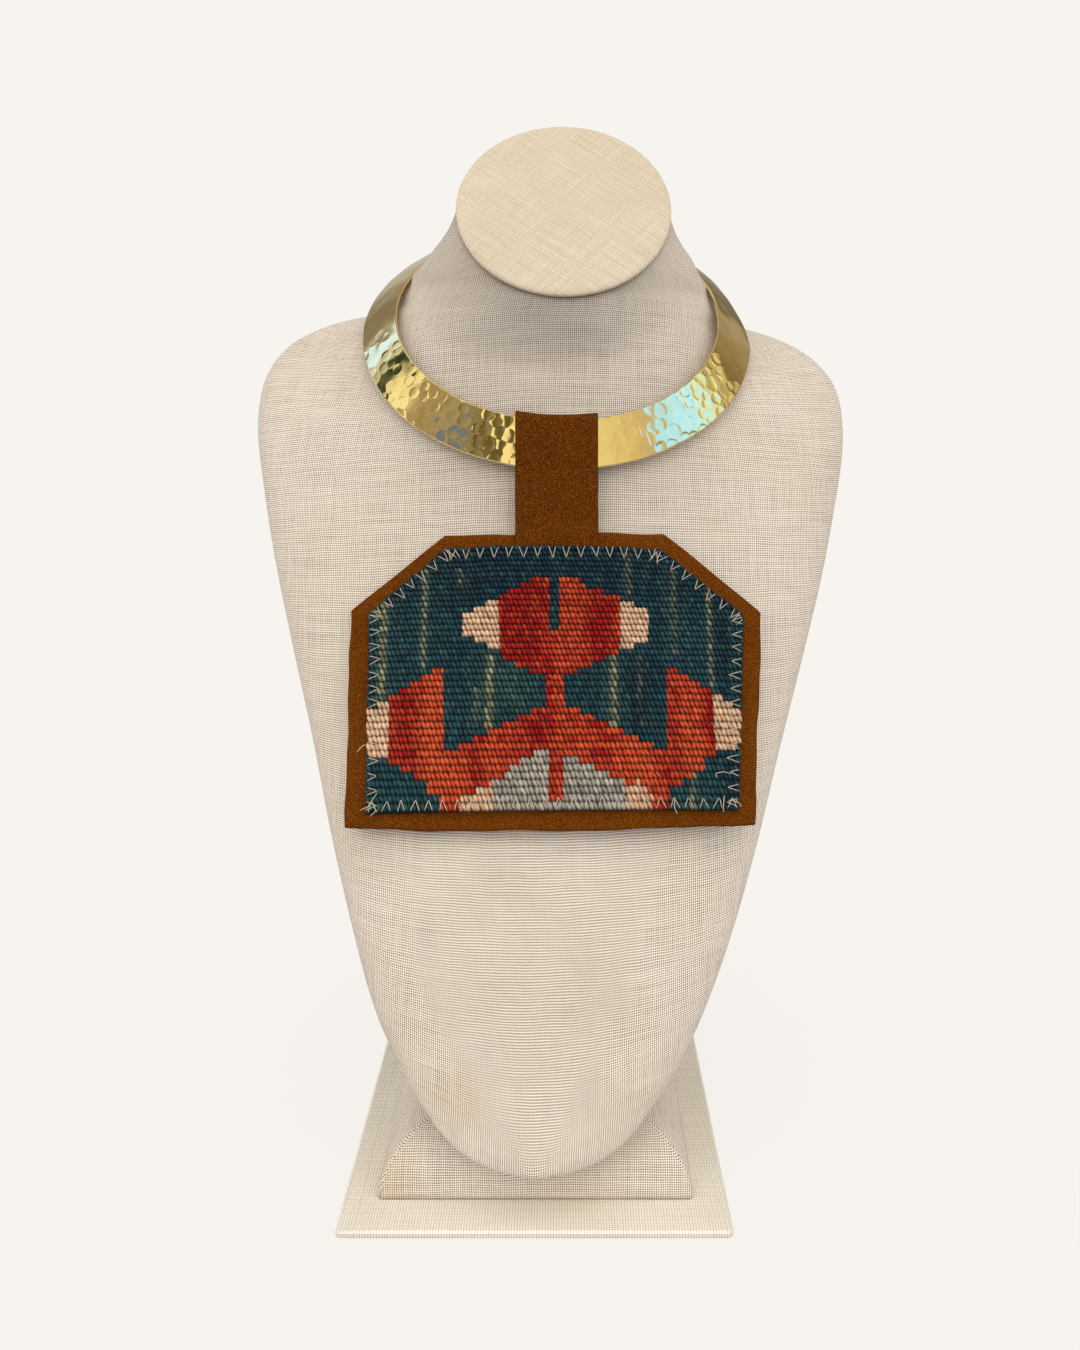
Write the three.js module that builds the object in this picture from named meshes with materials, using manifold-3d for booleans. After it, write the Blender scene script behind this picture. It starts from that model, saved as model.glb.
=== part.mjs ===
// Hammered brass choker with a suede hanger and a kilim panel, worn by a linen display bust.
// Millimetres, +Z up. Here y counts from the front edge of the base board and x from the middle
// of the shoulders; the last lines move the group so that the origin is under the middle of it all.
import * as THREE from "three";
import * as BufferGeometryUtils from "three/addons/utils/BufferGeometryUtils.js";
import Module from "manifold-3d";

const wasm = await Module();
wasm.setup();

// ---------------------------------------------------------------- driving dimensions
const gap = 0.3; // left between pieces that touch

const board = { width: 128, depth: 160, thickness: 3, middle: -4.4, edge: 0.8, corner: 1.5 };
const plinth = { width: 105, depth: 131, height: 20.5, setback: 14.7, roundness: 20, corner: 1.2 };
const post = { width: 44, front: 66, back: 108 };

// The bust leans a little to its right-hand side on the block. Its own x runs from its middle.
const bustLean = 1.7; // degrees

// The torso is lofted through level sections, from the tip of its tongue to the shoulders' ridge.
// half: half width, middle: x of the section's middle, front and back: y at that middle,
// widest: y where the section is widest, square: 2 is an ellipse, more is boxier.
const torsoSections = [
  { z: 19.5, half: 5, middle: 0, front: 3.6, widest: 7.5, back: 11, square: 2.0 },
  { z: 21.5, half: 17, middle: 0, front: 3, widest: 9, back: 15, square: 2.0 },
  { z: 26, half: 27.3, middle: 0, front: 4.2, widest: 12.5, back: 21, square: 2.05 },
  { z: 34, half: 36.6, middle: 0, front: 7.6, widest: 19, back: 31, square: 2.1 },
  { z: 46, half: 46.4, middle: 0, front: 12.8, widest: 27, back: 44, square: 2.15 },
  { z: 62, half: 56, middle: -0.2, front: 19.6, widest: 37, back: 58, square: 2.2 },
  { z: 84, half: 65.4, middle: 0.1, front: 29, widest: 50, back: 73, square: 2.2 },
  { z: 112, half: 75, middle: 0, front: 41.8, widest: 65, back: 91, square: 2.2 },
  { z: 142, half: 84.2, middle: -0.3, front: 56, widest: 82, back: 112, square: 2.2 },
  { z: 172, half: 94.2, middle: -0.8, front: 69.8, widest: 100, back: 133, square: 2.2 },
  { z: 200, half: 103.5, middle: -1.3, front: 84.6, widest: 118, back: 153, square: 2.2 },
  { z: 226, half: 111, middle: -1.8, front: 98.6, widest: 136, back: 173, square: 2.2 },
  { z: 246, half: 116, middle: -2.2, front: 111, widest: 151, back: 190, square: 2.2 },
  { z: 262, half: 116.2, middle: -2.3, front: 126, widest: 160, back: 198, square: 2.2 },
  { z: 272, half: 113, middle: -2.2, front: 137, widest: 165, back: 198, square: 2.1 },
  { z: 280, half: 106, middle: -2.4, front: 147, widest: 168, back: 195, square: 2.05 },
  { z: 285, half: 97.8, middle: -2.3, front: 153.5, widest: 169.5, back: 190, square: 2.0 },
  { z: 289, half: 87.5, middle: -2.4, front: 159, widest: 170, back: 185, square: 2.0 },
  { z: 292, half: 75, middle: -2.2, front: 163, widest: 170, back: 180, square: 2.0 },
  { z: 295, half: 60, middle: -1.0, front: 167, widest: 170, back: 175, square: 2.0 },
];

// The neck widens downwards into the torso, which it meets in a soft hollow.
const neckSections = [
  { z: 226, half: 44, middle: -1.6, front: 101, widest: 136, back: 168, square: 2.2 },
  { z: 240, half: 62, middle: -1.5, front: 104, widest: 147, back: 182, square: 2.4 },
  { z: 254, half: 69, middle: -1.3, front: 107.5, widest: 156, back: 192, square: 2.5 },
  { z: 264, half: 72, middle: -1.2, front: 113.5, widest: 161, back: 198, square: 2.6 },
  { z: 275, half: 71, middle: -1.1, front: 120.5, widest: 165, back: 201, square: 2.7 },
  { z: 286, half: 67.4, middle: -0.9, front: 127, widest: 165, back: 202, square: 2.7 },
  { z: 298, half: 62.85, middle: -0.65, front: 133.8, widest: 161, back: 200, square: 2.3 },
  { z: 303, half: 59.25, middle: -0.75, front: 136.5, widest: 159, back: 198.8, square: 2.05 },
  { z: 308, half: 55.8, middle: -0.5, front: 139.1, widest: 159.5, back: 194.5, square: 2 },
  { z: 312, half: 53.1, middle: 0, front: 140.8, widest: 160.5, back: 189, square: 2 },
  { z: 316.5, half: 50.55, middle: 0.25, front: 142.8, widest: 161, back: 186.5, square: 2 },
  { z: 322, half: 46.6, middle: 0.2, front: 144.3, widest: 163, back: 187, square: 2 },
  { z: 328, half: 43.3, middle: 0.2, front: 146, widest: 163, back: 188, square: 2 },
  { z: 334, half: 41, middle: 0.3, front: 148, widest: 159.5, back: 188, square: 2 },
  { z: 352, half: 40.9, middle: 0.4, front: 151, widest: 159.5, back: 187.6, square: 2 },
  { z: 376, half: 41, middle: 0.4, front: 153, widest: 159.5, back: 187.6, square: 2 },
];
const neckBlend = 16;
const hollowEnd = 312; // up to this height the join's soft hollow dies out over the torso's top
const levelHeight = 8.5;
const pointsAroundBust = 60;
const flatness = 0.5; // crowds the points of a section towards its two sides

const cap = { halfWidth: 41.8, halfLength: 44.8, tilt: 51, x: 0.3, y: 159.5, z: 334.5, thickness: 2.4, rim: 0.9 };

// The collar's inner edge is two half ellipses in one tilted plane; the band leans down and
// outwards from it, like a cuff cut from a cone.
const collar = {
  halfWidth: 62, frontDepth: 62, backDepth: 56, tilt: 41, turn: 2.4, x: 2.9, y: 146.3, z: 294.9,
  band: 17.3, lean: 37, thickness: 1.2, crown: 0.35, rearGap: 39, rearDrawnIn: 0.025, endArc: 0.045, endWidth: 0.55,
  rightNarrowed: 6.4,
};

// rideSide and rideEnd: how far beyond the strap's side and end the kilim over it starts to
// come down again, and where it lies flat.
const strap = {
  width: 29.2, thickness: 1.4, middle: 2.6, tuckedIn: 5, rearEnd: -1.8, rearLift: 3.4,
  rideSide: [6, 18], rideEnd: [7, 24],
};

// Both panels lie on one leaning sheet that bends back towards its sides. Corners give x from
// its middle and the distance down from its top; the edges were cut by eye.
const panel = { x: 1.9, y: 89.1, z: 215.2, lean: 27.8, crown: 5.0, crownAt: 69, cornerRow: 0.25 };
const backing = {
  left: [{ x: -38.5, down: -0.2 }, { x: -71.6, down: 26.1 }, { x: -70, down: 102.2 }],
  right: [{ x: 38.5, down: -1.1 }, { x: 72.6, down: 26.8 }, { x: 67.1, down: 100.8 }],
  bow: 2, thickness: 1.5,
};
const kilim = {
  left: [{ x: -38.4, down: 5.4 }, { x: -65.1, down: 27.9 }, { x: -63.2, down: 97.7 }],
  right: [{ x: 36.5, down: 5.2 }, { x: 65.8, down: 28.6 }, { x: 61.6, down: 96.4 }],
  bow: 0, thickness: 2.2,
};

// ---------------------------------------------------------------- materials
function finish(color, roughness, metalness) {
  return new THREE.MeshStandardMaterial({ color, roughness, metalness });
}
const linen = finish(0xcfc3b2, 0.9, 0);
const boardLinen = finish(0xcdbfa2, 0.9, 0);
const brass = finish(0xb5984e, 0.22, 1);
const suede = finish(0x74430f, 0.95, 0);
const kilimWool = finish(0x2f4a55, 0.95, 0);

// ---------------------------------------------------------------- building blocks
function bufferGeometry(positions, indices) {
  const geometry = new THREE.BufferGeometry();
  geometry.setAttribute("position", new THREE.Float32BufferAttribute(positions, 3));
  geometry.setIndex(indices);
  return geometry;
}

// A closed mesh through a list of rings with equally many points, its two ends closed flat.
function loft(rings) {
  const count = rings[0].length;
  const positions = rings.flat().flatMap((point) => point.toArray());
  const indices = [];
  for (let ring = 0; ring + 1 < rings.length; ring += 1) {
    for (let i = 0; i < count; i += 1) {
      const next = (i + 1) % count;
      const a = ring * count + i;
      const b = ring * count + next;
      indices.push(a, b, b + count, a, b + count, a + count);
    }
  }
  for (const [ring, flipped] of [[0, true], [rings.length - 1, false]]) {
    const middle = new THREE.Vector3();
    rings[ring].forEach((point) => middle.addScaledVector(point, 1 / count));
    const hub = positions.length / 3;
    positions.push(...middle.toArray());
    for (let i = 0; i < count; i += 1) {
      const a = ring * count + i;
      const b = ring * count + ((i + 1) % count);
      indices.push(hub, flipped ? b : a, flipped ? a : b);
    }
  }
  return bufferGeometry(positions, indices);
}

// A closed sheet between a front and a back grid of points; u and v run from 0 to 1.
function sheet(columns, rows, front, back) {
  const positions = [];
  for (const face of [front, back]) {
    for (let j = 0; j <= rows; j += 1) {
      for (let i = 0; i <= columns; i += 1) positions.push(...face(i / columns, j / rows).toArray());
    }
  }
  const behind = (columns + 1) * (rows + 1);
  const at = (i, j) => j * (columns + 1) + i;
  const indices = [];
  const quad = (a, b, c, d) => indices.push(a, b, c, a, c, d);
  for (let j = 0; j < rows; j += 1) {
    for (let i = 0; i < columns; i += 1) {
      quad(at(i, j), at(i + 1, j), at(i + 1, j + 1), at(i, j + 1));
      quad(behind + at(i, j), behind + at(i, j + 1), behind + at(i + 1, j + 1), behind + at(i + 1, j));
    }
    quad(at(columns, j + 1), at(columns, j), behind + at(columns, j), behind + at(columns, j + 1));
    quad(at(0, j), at(0, j + 1), behind + at(0, j + 1), behind + at(0, j));
  }
  for (let i = 0; i < columns; i += 1) {
    quad(at(i + 1, 0), at(i, 0), behind + at(i, 0), behind + at(i + 1, 0));
    quad(at(i, rows), at(i + 1, rows), behind + at(i + 1, rows), behind + at(i, rows));
  }
  return bufferGeometry(positions, indices);
}

function outward(geometry) {
  const position = geometry.getAttribute("position");
  const index = geometry.getIndex();
  const corner = [0, 1, 2].map(() => new THREE.Vector3());
  let volume = 0;
  for (let i = 0; i < index.count; i += 3) {
    corner.forEach((vertex, k) => vertex.fromBufferAttribute(position, index.getX(i + k)));
    volume += corner[0].dot(corner[1].clone().cross(corner[2]));
  }
  if (volume < 0) index.array.reverse();
  return geometry;
}

function solid(geometry) {
  const bare = geometry.clone();
  bare.deleteAttribute("normal");
  bare.deleteAttribute("uv");
  const merged = BufferGeometryUtils.mergeVertices(bare, 1e-3);
  return new wasm.Manifold(new wasm.Mesh({
    numProp: 3,
    vertProperties: merged.getAttribute("position").array,
    triVerts: Uint32Array.from(merged.getIndex().array),
  }));
}

function fromSolid(manifold) {
  const mesh = manifold.getMesh();
  const geometry = new THREE.BufferGeometry();
  geometry.setAttribute("position", new THREE.BufferAttribute(mesh.vertProperties, 3));
  geometry.setIndex(new THREE.BufferAttribute(mesh.triVerts, 1));
  return geometry;
}

function named(name, geometry, material) {
  outward(geometry);
  geometry.computeVertexNormals();
  const mesh = new THREE.Mesh(geometry, material);
  mesh.name = name;
  return mesh;
}

// A rectangle with small arcs at its corners, as a ring of points at one height.
function roundedRectangle(halfX, halfY, radius, middleX, middleY, z) {
  const ring = [];
  const arcSteps = 3;
  for (const [sideX, sideY, start] of [[1, 1, 0], [-1, 1, 90], [-1, -1, 180], [1, -1, 270]]) {
    for (let step = 0; step <= arcSteps; step += 1) {
      const angle = THREE.MathUtils.degToRad(start + (90 * step) / arcSteps);
      const x = middleX + sideX * (halfX - radius) + radius * Math.cos(angle);
      const y = middleY + sideY * (halfY - radius) + radius * Math.sin(angle);
      ring.push(new THREE.Vector3(x, y, z));
    }
  }
  return ring;
}

// ---------------------------------------------------------------- the bust's surface
// A cubic between two rows of a table, whose slopes at the rows follow their neighbours.
function hermite(table, column, row, t) {
  const last = table.length - 1;
  const slopeAt = (i) => {
    const before = table[Math.max(i - 1, 0)];
    const after = table[Math.min(i + 1, last)];
    return (after[column] - before[column]) / (after.z - before.z);
  };
  const from = table[row];
  const to = table[row + 1];
  const step = to.z - from.z;
  const slopeFrom = slopeAt(row) * step;
  const slopeTo = slopeAt(row + 1) * step;
  const cubic = 2 * from[column] - 2 * to[column] + slopeFrom + slopeTo;
  const square = -3 * from[column] + 3 * to[column] - 2 * slopeFrom - slopeTo;
  return ((cubic * t + square) * t + slopeFrom) * t + from[column];
}

// A table's columns at a height, on a smooth curve through its rows.
function sectionAt(table, z) {
  const last = table.length - 1;
  const at = (i) => table[THREE.MathUtils.clamp(i, 0, last)];
  let row = 0;
  while (row < last - 1 && at(row + 1).z <= z) row += 1;
  const across = (z - at(row).z) / (at(row + 1).z - at(row).z);
  const section = {};
  for (const column of Object.keys(table[0])) {
    section[column] = hermite(table, column, row, THREE.MathUtils.clamp(across, 0, 1));
  }
  return section;
}

// Where a level section lies in one direction from its centre: a superellipse, as a radius.
function radiusTowards(section, centre, cosine, sine) {
  const reach = sine < 0 ? centre.y - section.front : section.back - centre.y;
  const across = Math.abs(cosine / section.half) ** section.square;
  const along = Math.abs(sine / reach) ** section.square;
  return (across + along) ** (-1 / section.square);
}

// What the join adds to the larger of two radii: a soft hollow instead of a crease.
function hollow(a, b) {
  const nearness = Math.max(0, 1 - Math.abs(a - b) / neckBlend);
  return (neckBlend * nearness ** 3) / 6;
}

function bustPoint(z, direction) {
  const torsoTop = torsoSections.at(-1).z;
  const torso = sectionAt(torsoSections, z);
  const neck = sectionAt(neckSections, z);
  const towardsNeck = THREE.MathUtils.smoothstep(z, torsoTop, hollowEnd);
  const centre = {
    x: THREE.MathUtils.lerp(torso.middle, neck.middle, towardsNeck),
    y: THREE.MathUtils.lerp(torso.widest, neck.widest, towardsNeck),
  };
  const cosine = Math.cos(direction);
  const sine = Math.sin(direction);
  const torsoRadius = radiusTowards(torso, centre, cosine, sine);
  const neckRadius = radiusTowards(neck, centre, cosine, sine);
  let radius = neckRadius;
  if (z < neckSections[0].z) radius = torsoRadius;
  else if (z <= torsoTop) radius = Math.max(torsoRadius, neckRadius) + hollow(torsoRadius, neckRadius);
  else if (z < hollowEnd) radius = neckRadius + hollow(torsoRadius, neckRadius) * (1 - towardsNeck);
  return new THREE.Vector3(centre.x + radius * cosine, centre.y + radius * sine, z);
}

// Crowds the directions towards the section's two sides, where it turns fastest.
function directionOf(i) {
  const angle = (2 * Math.PI * i) / pointsAroundBust;
  return Math.atan2(flatness * Math.sin(angle), Math.cos(angle));
}

function bustRing(z) {
  return Array.from({ length: pointsAroundBust }, (_, i) => bustPoint(z, directionOf(i)));
}

// y of the torso's rear face at a height, for the post that carries it.
function rearOfTorso(x, z) {
  const section = sectionAt(torsoSections, z);
  const across = Math.min(Math.abs(x - section.middle) / section.half, 1);
  const reach = (1 - across ** section.square) ** (1 / section.square);
  return section.widest + (section.back - section.widest) * reach;
}

function undersideOfTorso(x, y) {
  let low = torsoSections[2].z;
  let high = torsoSections[12].z;
  for (let halving = 0; halving < 30; halving += 1) {
    const middle = (low + high) / 2;
    if (rearOfTorso(x, middle) < y) low = middle;
    else high = middle;
  }
  return low;
}

// ---------------------------------------------------------------- the stand
function baseBoard() {
  const levels = [[board.edge, 0], [0, board.edge], [0, board.thickness - board.edge], [board.edge, board.thickness]];
  return loft(levels.map(([inset, z]) => roundedRectangle(
    board.width / 2 - inset, board.depth / 2 - inset, board.corner, board.middle, board.depth / 2, z)));
}

// The padded block curves over at its top edges, a quarter ellipse in from each side.
function plinthBlock() {
  const steps = 7;
  const rings = [];
  const middleY = plinth.setback + plinth.depth / 2;
  for (let step = 0; step <= steps; step += 1) {
    const angle = (Math.PI / 2) * (step / steps);
    const inset = plinth.roundness * (1 - Math.cos(angle));
    const z = board.thickness + gap + (plinth.height - gap) * Math.sin(angle);
    rings.push(roundedRectangle(
      plinth.width / 2 - inset, plinth.depth / 2 - inset, plinth.corner, board.middle, middleY, z));
  }
  return loft(rings);
}

// In the bust's own leaning frame, like the form and its cap.
function supportPost() {
  const foot = board.thickness + plinth.height + 3 * gap;
  const place = (u, v) => [post.width * (u - 0.5), post.front + (post.back - post.front) * v];
  const top = (u, v) => {
    const [x, y] = place(u, v);
    return new THREE.Vector3(x, y, undersideOfTorso(x, y) - 2 * gap);
  };
  const bottom = (u, v) => {
    const [x, y] = place(u, v);
    return new THREE.Vector3(x, y, foot);
  };
  return sheet(8, 8, top, bottom);
}

function tiltedToCap(geometry, lift) {
  geometry.translate(0, 0, lift);
  geometry.rotateX(THREE.MathUtils.degToRad(cap.tilt));
  geometry.translate(cap.x, cap.y, cap.z);
  return geometry;
}

// The levels crowd together near the tip of the tongue and at the ridge of the shoulders.
function bustLevels() {
  const rows = [...torsoSections, ...neckSections].map((section) => section.z).sort((a, b) => a - b);
  const levels = [];
  for (let i = 0; i + 1 < rows.length; i += 1) {
    const steps = Math.max(1, Math.round((rows[i + 1] - rows[i]) / levelHeight));
    for (let step = 0; step < steps; step += 1) levels.push(THREE.MathUtils.lerp(rows[i], rows[i + 1], step / steps));
  }
  levels.push(rows.at(-1));
  return levels.filter((z, i) => i === 0 || z - levels[i - 1] > 0.5);
}

function bustForm() {
  const cutSize = 200;
  const cut = tiltedToCap(new THREE.BoxGeometry(cutSize, cutSize, cutSize), cutSize / 2 - cap.thickness - gap);
  const form = outward(loft(bustLevels().map(bustRing)));
  return fromSolid(solid(form).subtract(solid(cut)));
}

function neckCap() {
  const around = 64;
  const levels = [[cap.rim, 0], [0, cap.rim], [0, cap.thickness - cap.rim], [cap.rim, cap.thickness]];
  const rings = levels.map(([inset, z]) => Array.from({ length: around }, (_, i) => {
    const angle = (2 * Math.PI * i) / around;
    const x = (cap.halfWidth - inset) * Math.cos(angle);
    const y = (cap.halfLength - inset) * Math.sin(angle);
    return new THREE.Vector3(x, y, z);
  }));
  return tiltedToCap(loft(rings), -cap.thickness);
}

// ---------------------------------------------------------------- the choker
// A point of the collar: turn is 0 at the front, across runs 0..1 over the band's width, and
// below is how far under the band's upper face the point lies.
function collarPoint(turn, across, below) {
  const depth = Math.cos(turn) > 0 ? collar.frontDepth : collar.backDepth;
  const drawnIn = 1 - collar.rearDrawnIn * Math.max(0, -Math.cos(turn)) ** 2;
  const edge = new THREE.Vector3(collar.halfWidth * drawnIn * Math.sin(turn), -depth * Math.cos(turn), 0);
  const out = new THREE.Vector3(depth * Math.sin(turn), -collar.halfWidth * Math.cos(turn), 0).normalize();
  const lean = THREE.MathUtils.degToRad(collar.lean);
  const up = new THREE.Vector3(0, 0, 1);
  const alongBand = out.clone().multiplyScalar(Math.cos(lean)).addScaledVector(up, -Math.sin(lean));
  const offBand = out.clone().multiplyScalar(Math.sin(lean)).addScaledVector(up, Math.cos(lean));
  const crown = collar.crown * (1 - (2 * across - 1) ** 2);
  // The right arm is a little narrower towards the rear than the left one.
  const width = collar.band - collar.rightNarrowed * THREE.MathUtils.smoothstep(turn, 1.4, 1.85);
  edge.addScaledVector(alongBand, width * across).addScaledVector(offBand, crown - below);
  edge.applyAxisAngle(new THREE.Vector3(1, 0, 0), THREE.MathUtils.degToRad(collar.tilt));
  edge.applyAxisAngle(up, THREE.MathUtils.degToRad(collar.turn));
  return edge.add(new THREE.Vector3(collar.x, collar.y, collar.z));
}

function collarBand() {
  const end = Math.PI - Math.asin(collar.rearGap / 2 / collar.halfWidth);
  const along = (v) => end * (2 * v - 1);
  // Both ends are rounded off: close to an end the band narrows along a quarter circle.
  const narrowed = (u, v) => {
    const fromEnd = Math.min(v / collar.endArc, (1 - v) / collar.endArc, 1);
    const width = THREE.MathUtils.lerp(collar.endWidth, 1, Math.sqrt(1 - (1 - fromEnd) ** 2));
    return 0.5 + (u - 0.5) * width;
  };
  const top = (u, v) => collarPoint(along(v), narrowed(u, v), 0);
  const bottom = (u, v) => collarPoint(along(v), narrowed(u, v), collar.thickness);
  return sheet(4, 72, top, bottom);
}

// A point of the panels' bent sheet: x from its middle, down from its top, and lift towards the
// viewer from the backing's face.
function panelPoint(x, down, lift) {
  const lean = THREE.MathUtils.degToRad(panel.lean);
  const off = lift - panel.crown * (x / panel.crownAt) ** 2;
  const y = panel.y - down * Math.sin(lean) - off * Math.cos(lean);
  const z = panel.z - down * Math.cos(lean) + off * Math.sin(lean);
  return new THREE.Vector3(panel.x + x, y, z);
}

// A side of a panel runs from its top corner over the side corner to the bottom corner.
function sidePoint([top, corner, bottom], v) {
  const upper = v < panel.cornerRow;
  const [from, to] = upper ? [top, corner] : [corner, bottom];
  const t = upper ? v / panel.cornerRow : (v - panel.cornerRow) / (1 - panel.cornerRow);
  return { x: THREE.MathUtils.lerp(from.x, to.x, t), down: THREE.MathUtils.lerp(from.down, to.down, t) };
}

function panelSheet(piece, backLift) {
  const place = (u, v, lift) => {
    const left = sidePoint(piece.left, v);
    const right = sidePoint(piece.right, v);
    const bow = piece.bow * v ** 2 * (1 - (2 * u - 1) ** 2);
    const x = THREE.MathUtils.lerp(left.x, right.x, u);
    const down = THREE.MathUtils.lerp(left.down, right.down, u) + bow;
    return panelPoint(x, down, lift + backLift(x, down));
  };
  const front = (u, v) => place(u, v, piece.thickness);
  const back = (u, v) => place(u, v, 0);
  return sheet(16, 16, front, back);
}

const strapEnd = kilim.left[0].down + strap.tuckedIn;

// The kilim rides over the end of the strap that is tucked under its top edge.
function overStrap(x, down) {
  const fromStrap = Math.abs(x + panel.x - strap.middle);
  const [sideFrom, sideTo] = strap.rideSide.map((distance) => strap.width / 2 + distance);
  const [endFrom, endTo] = strap.rideEnd.map((distance) => strapEnd + distance);
  const side = 1 - THREE.MathUtils.smoothstep(fromStrap, sideFrom, sideTo);
  const length = 1 - THREE.MathUtils.smoothstep(down, endFrom, endTo);
  return gap + (strap.thickness + gap) * side * length;
}

// A point on the strap's middle layer beside the band: side is 1 behind the band, -1 before it.
function strapOnBand(x, across, side) {
  const below = collar.thickness / 2 + side * (collar.thickness / 2 + gap + strap.thickness / 2);
  let turn = 0;
  for (let pass = 0; pass < 6; pass += 1) turn -= (collarPoint(turn, across, below).x - x) / collar.halfWidth;
  return collarPoint(turn, across, below);
}

// The strap's middle layer at one x: up behind the band, over its top edge, down its face and
// over the backing, to end under the kilim.
function strapLine(x) {
  const behindTop = strapOnBand(x, 0, 1);
  const beforeTop = strapOnBand(x, 0, -1);
  const bandTop = behindTop.clone().add(beforeTop).multiplyScalar(0.5);
  const behindFoot = strapOnBand(x, 1, 1);
  const rear = behindTop.clone().sub(bandTop);
  const up = new THREE.Vector3(0, -rear.z, rear.y);
  const onPanel = (down) => panelPoint(x - panel.x, down, gap + strap.thickness / 2);
  const seam = onPanel(strap.rearEnd).add(new THREE.Vector3(0, strap.rearLift, 0));
  const line = [seam, behindFoot.clone().lerp(seam, 0.5), behindFoot];
  line.push(strapOnBand(x, 0.5, 1), behindTop);
  for (const degrees of [36, 72, 108, 144]) { // the bend over the band's top edge
    const angle = THREE.MathUtils.degToRad(degrees);
    line.push(bandTop.clone().addScaledVector(rear, Math.cos(angle)).addScaledVector(up, Math.sin(angle)));
  }
  for (const across of [0, 0.25, 0.5, 0.75, 1]) line.push(strapOnBand(x, across, -1));
  for (const down of [-4, 0, 4, strapEnd]) line.push(onPanel(down));
  return line;
}

function hangerStrap() {
  const stations = strapLine(strap.middle).length - 1;
  const place = (u, v, face) => {
    const line = strapLine(strap.middle + strap.width * (u - 0.5));
    const i = Math.round(v * stations);
    const along = line[Math.min(i + 1, stations)].clone().sub(line[Math.max(i - 1, 0)]).setX(0).normalize();
    const off = new THREE.Vector3(0, along.z, -along.y).multiplyScalar((face * strap.thickness) / 2);
    return line[i].clone().add(off);
  };
  return sheet(8, stations, (u, v) => place(u, v, 1), (u, v) => place(u, v, -1));
}

// ---------------------------------------------------------------- the assembly
const group = new THREE.Group();
group.add(named("base_board", baseBoard(), boardLinen));
group.add(named("plinth_block", plinthBlock(), linen));

const blockTop = board.thickness + plinth.height;
const upright = new THREE.Group();
upright.position.z = -blockTop;
upright.add(named("support_post", supportPost(), linen));
upright.add(named("bust_form", bustForm(), linen));
upright.add(named("neck_cap", neckCap(), linen));
const leaning = new THREE.Group();
leaning.position.set(board.middle, 0, blockTop);
leaning.rotation.y = THREE.MathUtils.degToRad(bustLean);
leaning.add(upright);
group.add(leaning);

group.add(named("collar", collarBand(), brass));
group.add(named("hanger_strap", hangerStrap(), suede));
group.add(named("suede_backing", panelSheet(backing, () => -backing.thickness), suede));
group.add(named("kilim_panel", panelSheet(kilim, overStrap), kilimWool));

const reach = new THREE.Box3().setFromObject(group, true);
const middle = reach.getCenter(new THREE.Vector3());
group.position.set(-middle.x, -middle.y, -reach.min.z);

export default group;
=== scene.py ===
# Hammered brass choker with a suede hanger and a kilim panel, on a leaning linen bust.
import math
import bpy
import bmesh
import numpy as np
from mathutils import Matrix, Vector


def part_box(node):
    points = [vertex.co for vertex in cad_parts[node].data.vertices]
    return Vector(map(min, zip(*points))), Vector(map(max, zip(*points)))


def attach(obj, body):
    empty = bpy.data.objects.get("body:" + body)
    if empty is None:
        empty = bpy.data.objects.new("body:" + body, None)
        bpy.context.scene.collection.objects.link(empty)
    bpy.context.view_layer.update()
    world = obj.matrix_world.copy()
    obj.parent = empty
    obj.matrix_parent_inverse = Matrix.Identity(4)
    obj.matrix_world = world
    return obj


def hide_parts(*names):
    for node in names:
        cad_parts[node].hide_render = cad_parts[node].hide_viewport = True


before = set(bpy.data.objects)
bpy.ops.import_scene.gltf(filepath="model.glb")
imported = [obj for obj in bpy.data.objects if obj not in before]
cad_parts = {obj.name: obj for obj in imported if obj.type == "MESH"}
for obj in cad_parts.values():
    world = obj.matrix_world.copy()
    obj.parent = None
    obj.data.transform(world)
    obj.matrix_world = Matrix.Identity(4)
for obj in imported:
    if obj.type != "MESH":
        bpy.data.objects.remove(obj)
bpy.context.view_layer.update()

mm = 0.001
random = np.random.default_rng(7)

# Shapes are worked out in millimetres from the board's front edge and the shoulders' middle.
boardLow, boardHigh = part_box("base_board")
middleOfBoard = -4.4
origin = np.array([(boardLow[0] + boardHigh[0]) / 2 - middleOfBoard * mm, boardLow[1], boardLow[2]])


def toFrame(points):  # millimetres of the drawing to metres of the frame
    return np.asarray(points, float) * mm + origin


# Where the camera stands, in millimetres, how many degrees it looks down, and its lens.
view = {"x": 5, "y": -298, "z": 261.4, "pitchDown": 14.066, "lens": 29.33, "sensor": 36, "shiftX": -0.0174}
camera = bpy.data.objects.new("camera", bpy.data.cameras.new("camera"))
bpy.context.collection.objects.link(camera)
camera.location = toFrame([view["x"], view["y"], view["z"]])
camera.rotation_euler = (math.radians(90 - view["pitchDown"]), 0, 0)
camera.data.lens = view["lens"]
camera.data.sensor_width = view["sensor"]
camera.data.shift_x = view["shiftX"]
bpy.context.scene.camera = camera
print("camera placed")


def smoothStep(x, low, high):  # 0 below low, 1 above high, with soft ends
    t = np.clip((x - low) / (high - low), 0, 1)
    return t * t * (3 - 2 * t)


def unit(vectors):  # each vector divided by its own length
    return vectors / np.maximum(np.linalg.norm(vectors, axis=-1, keepdims=True), 1e-12)


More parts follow.
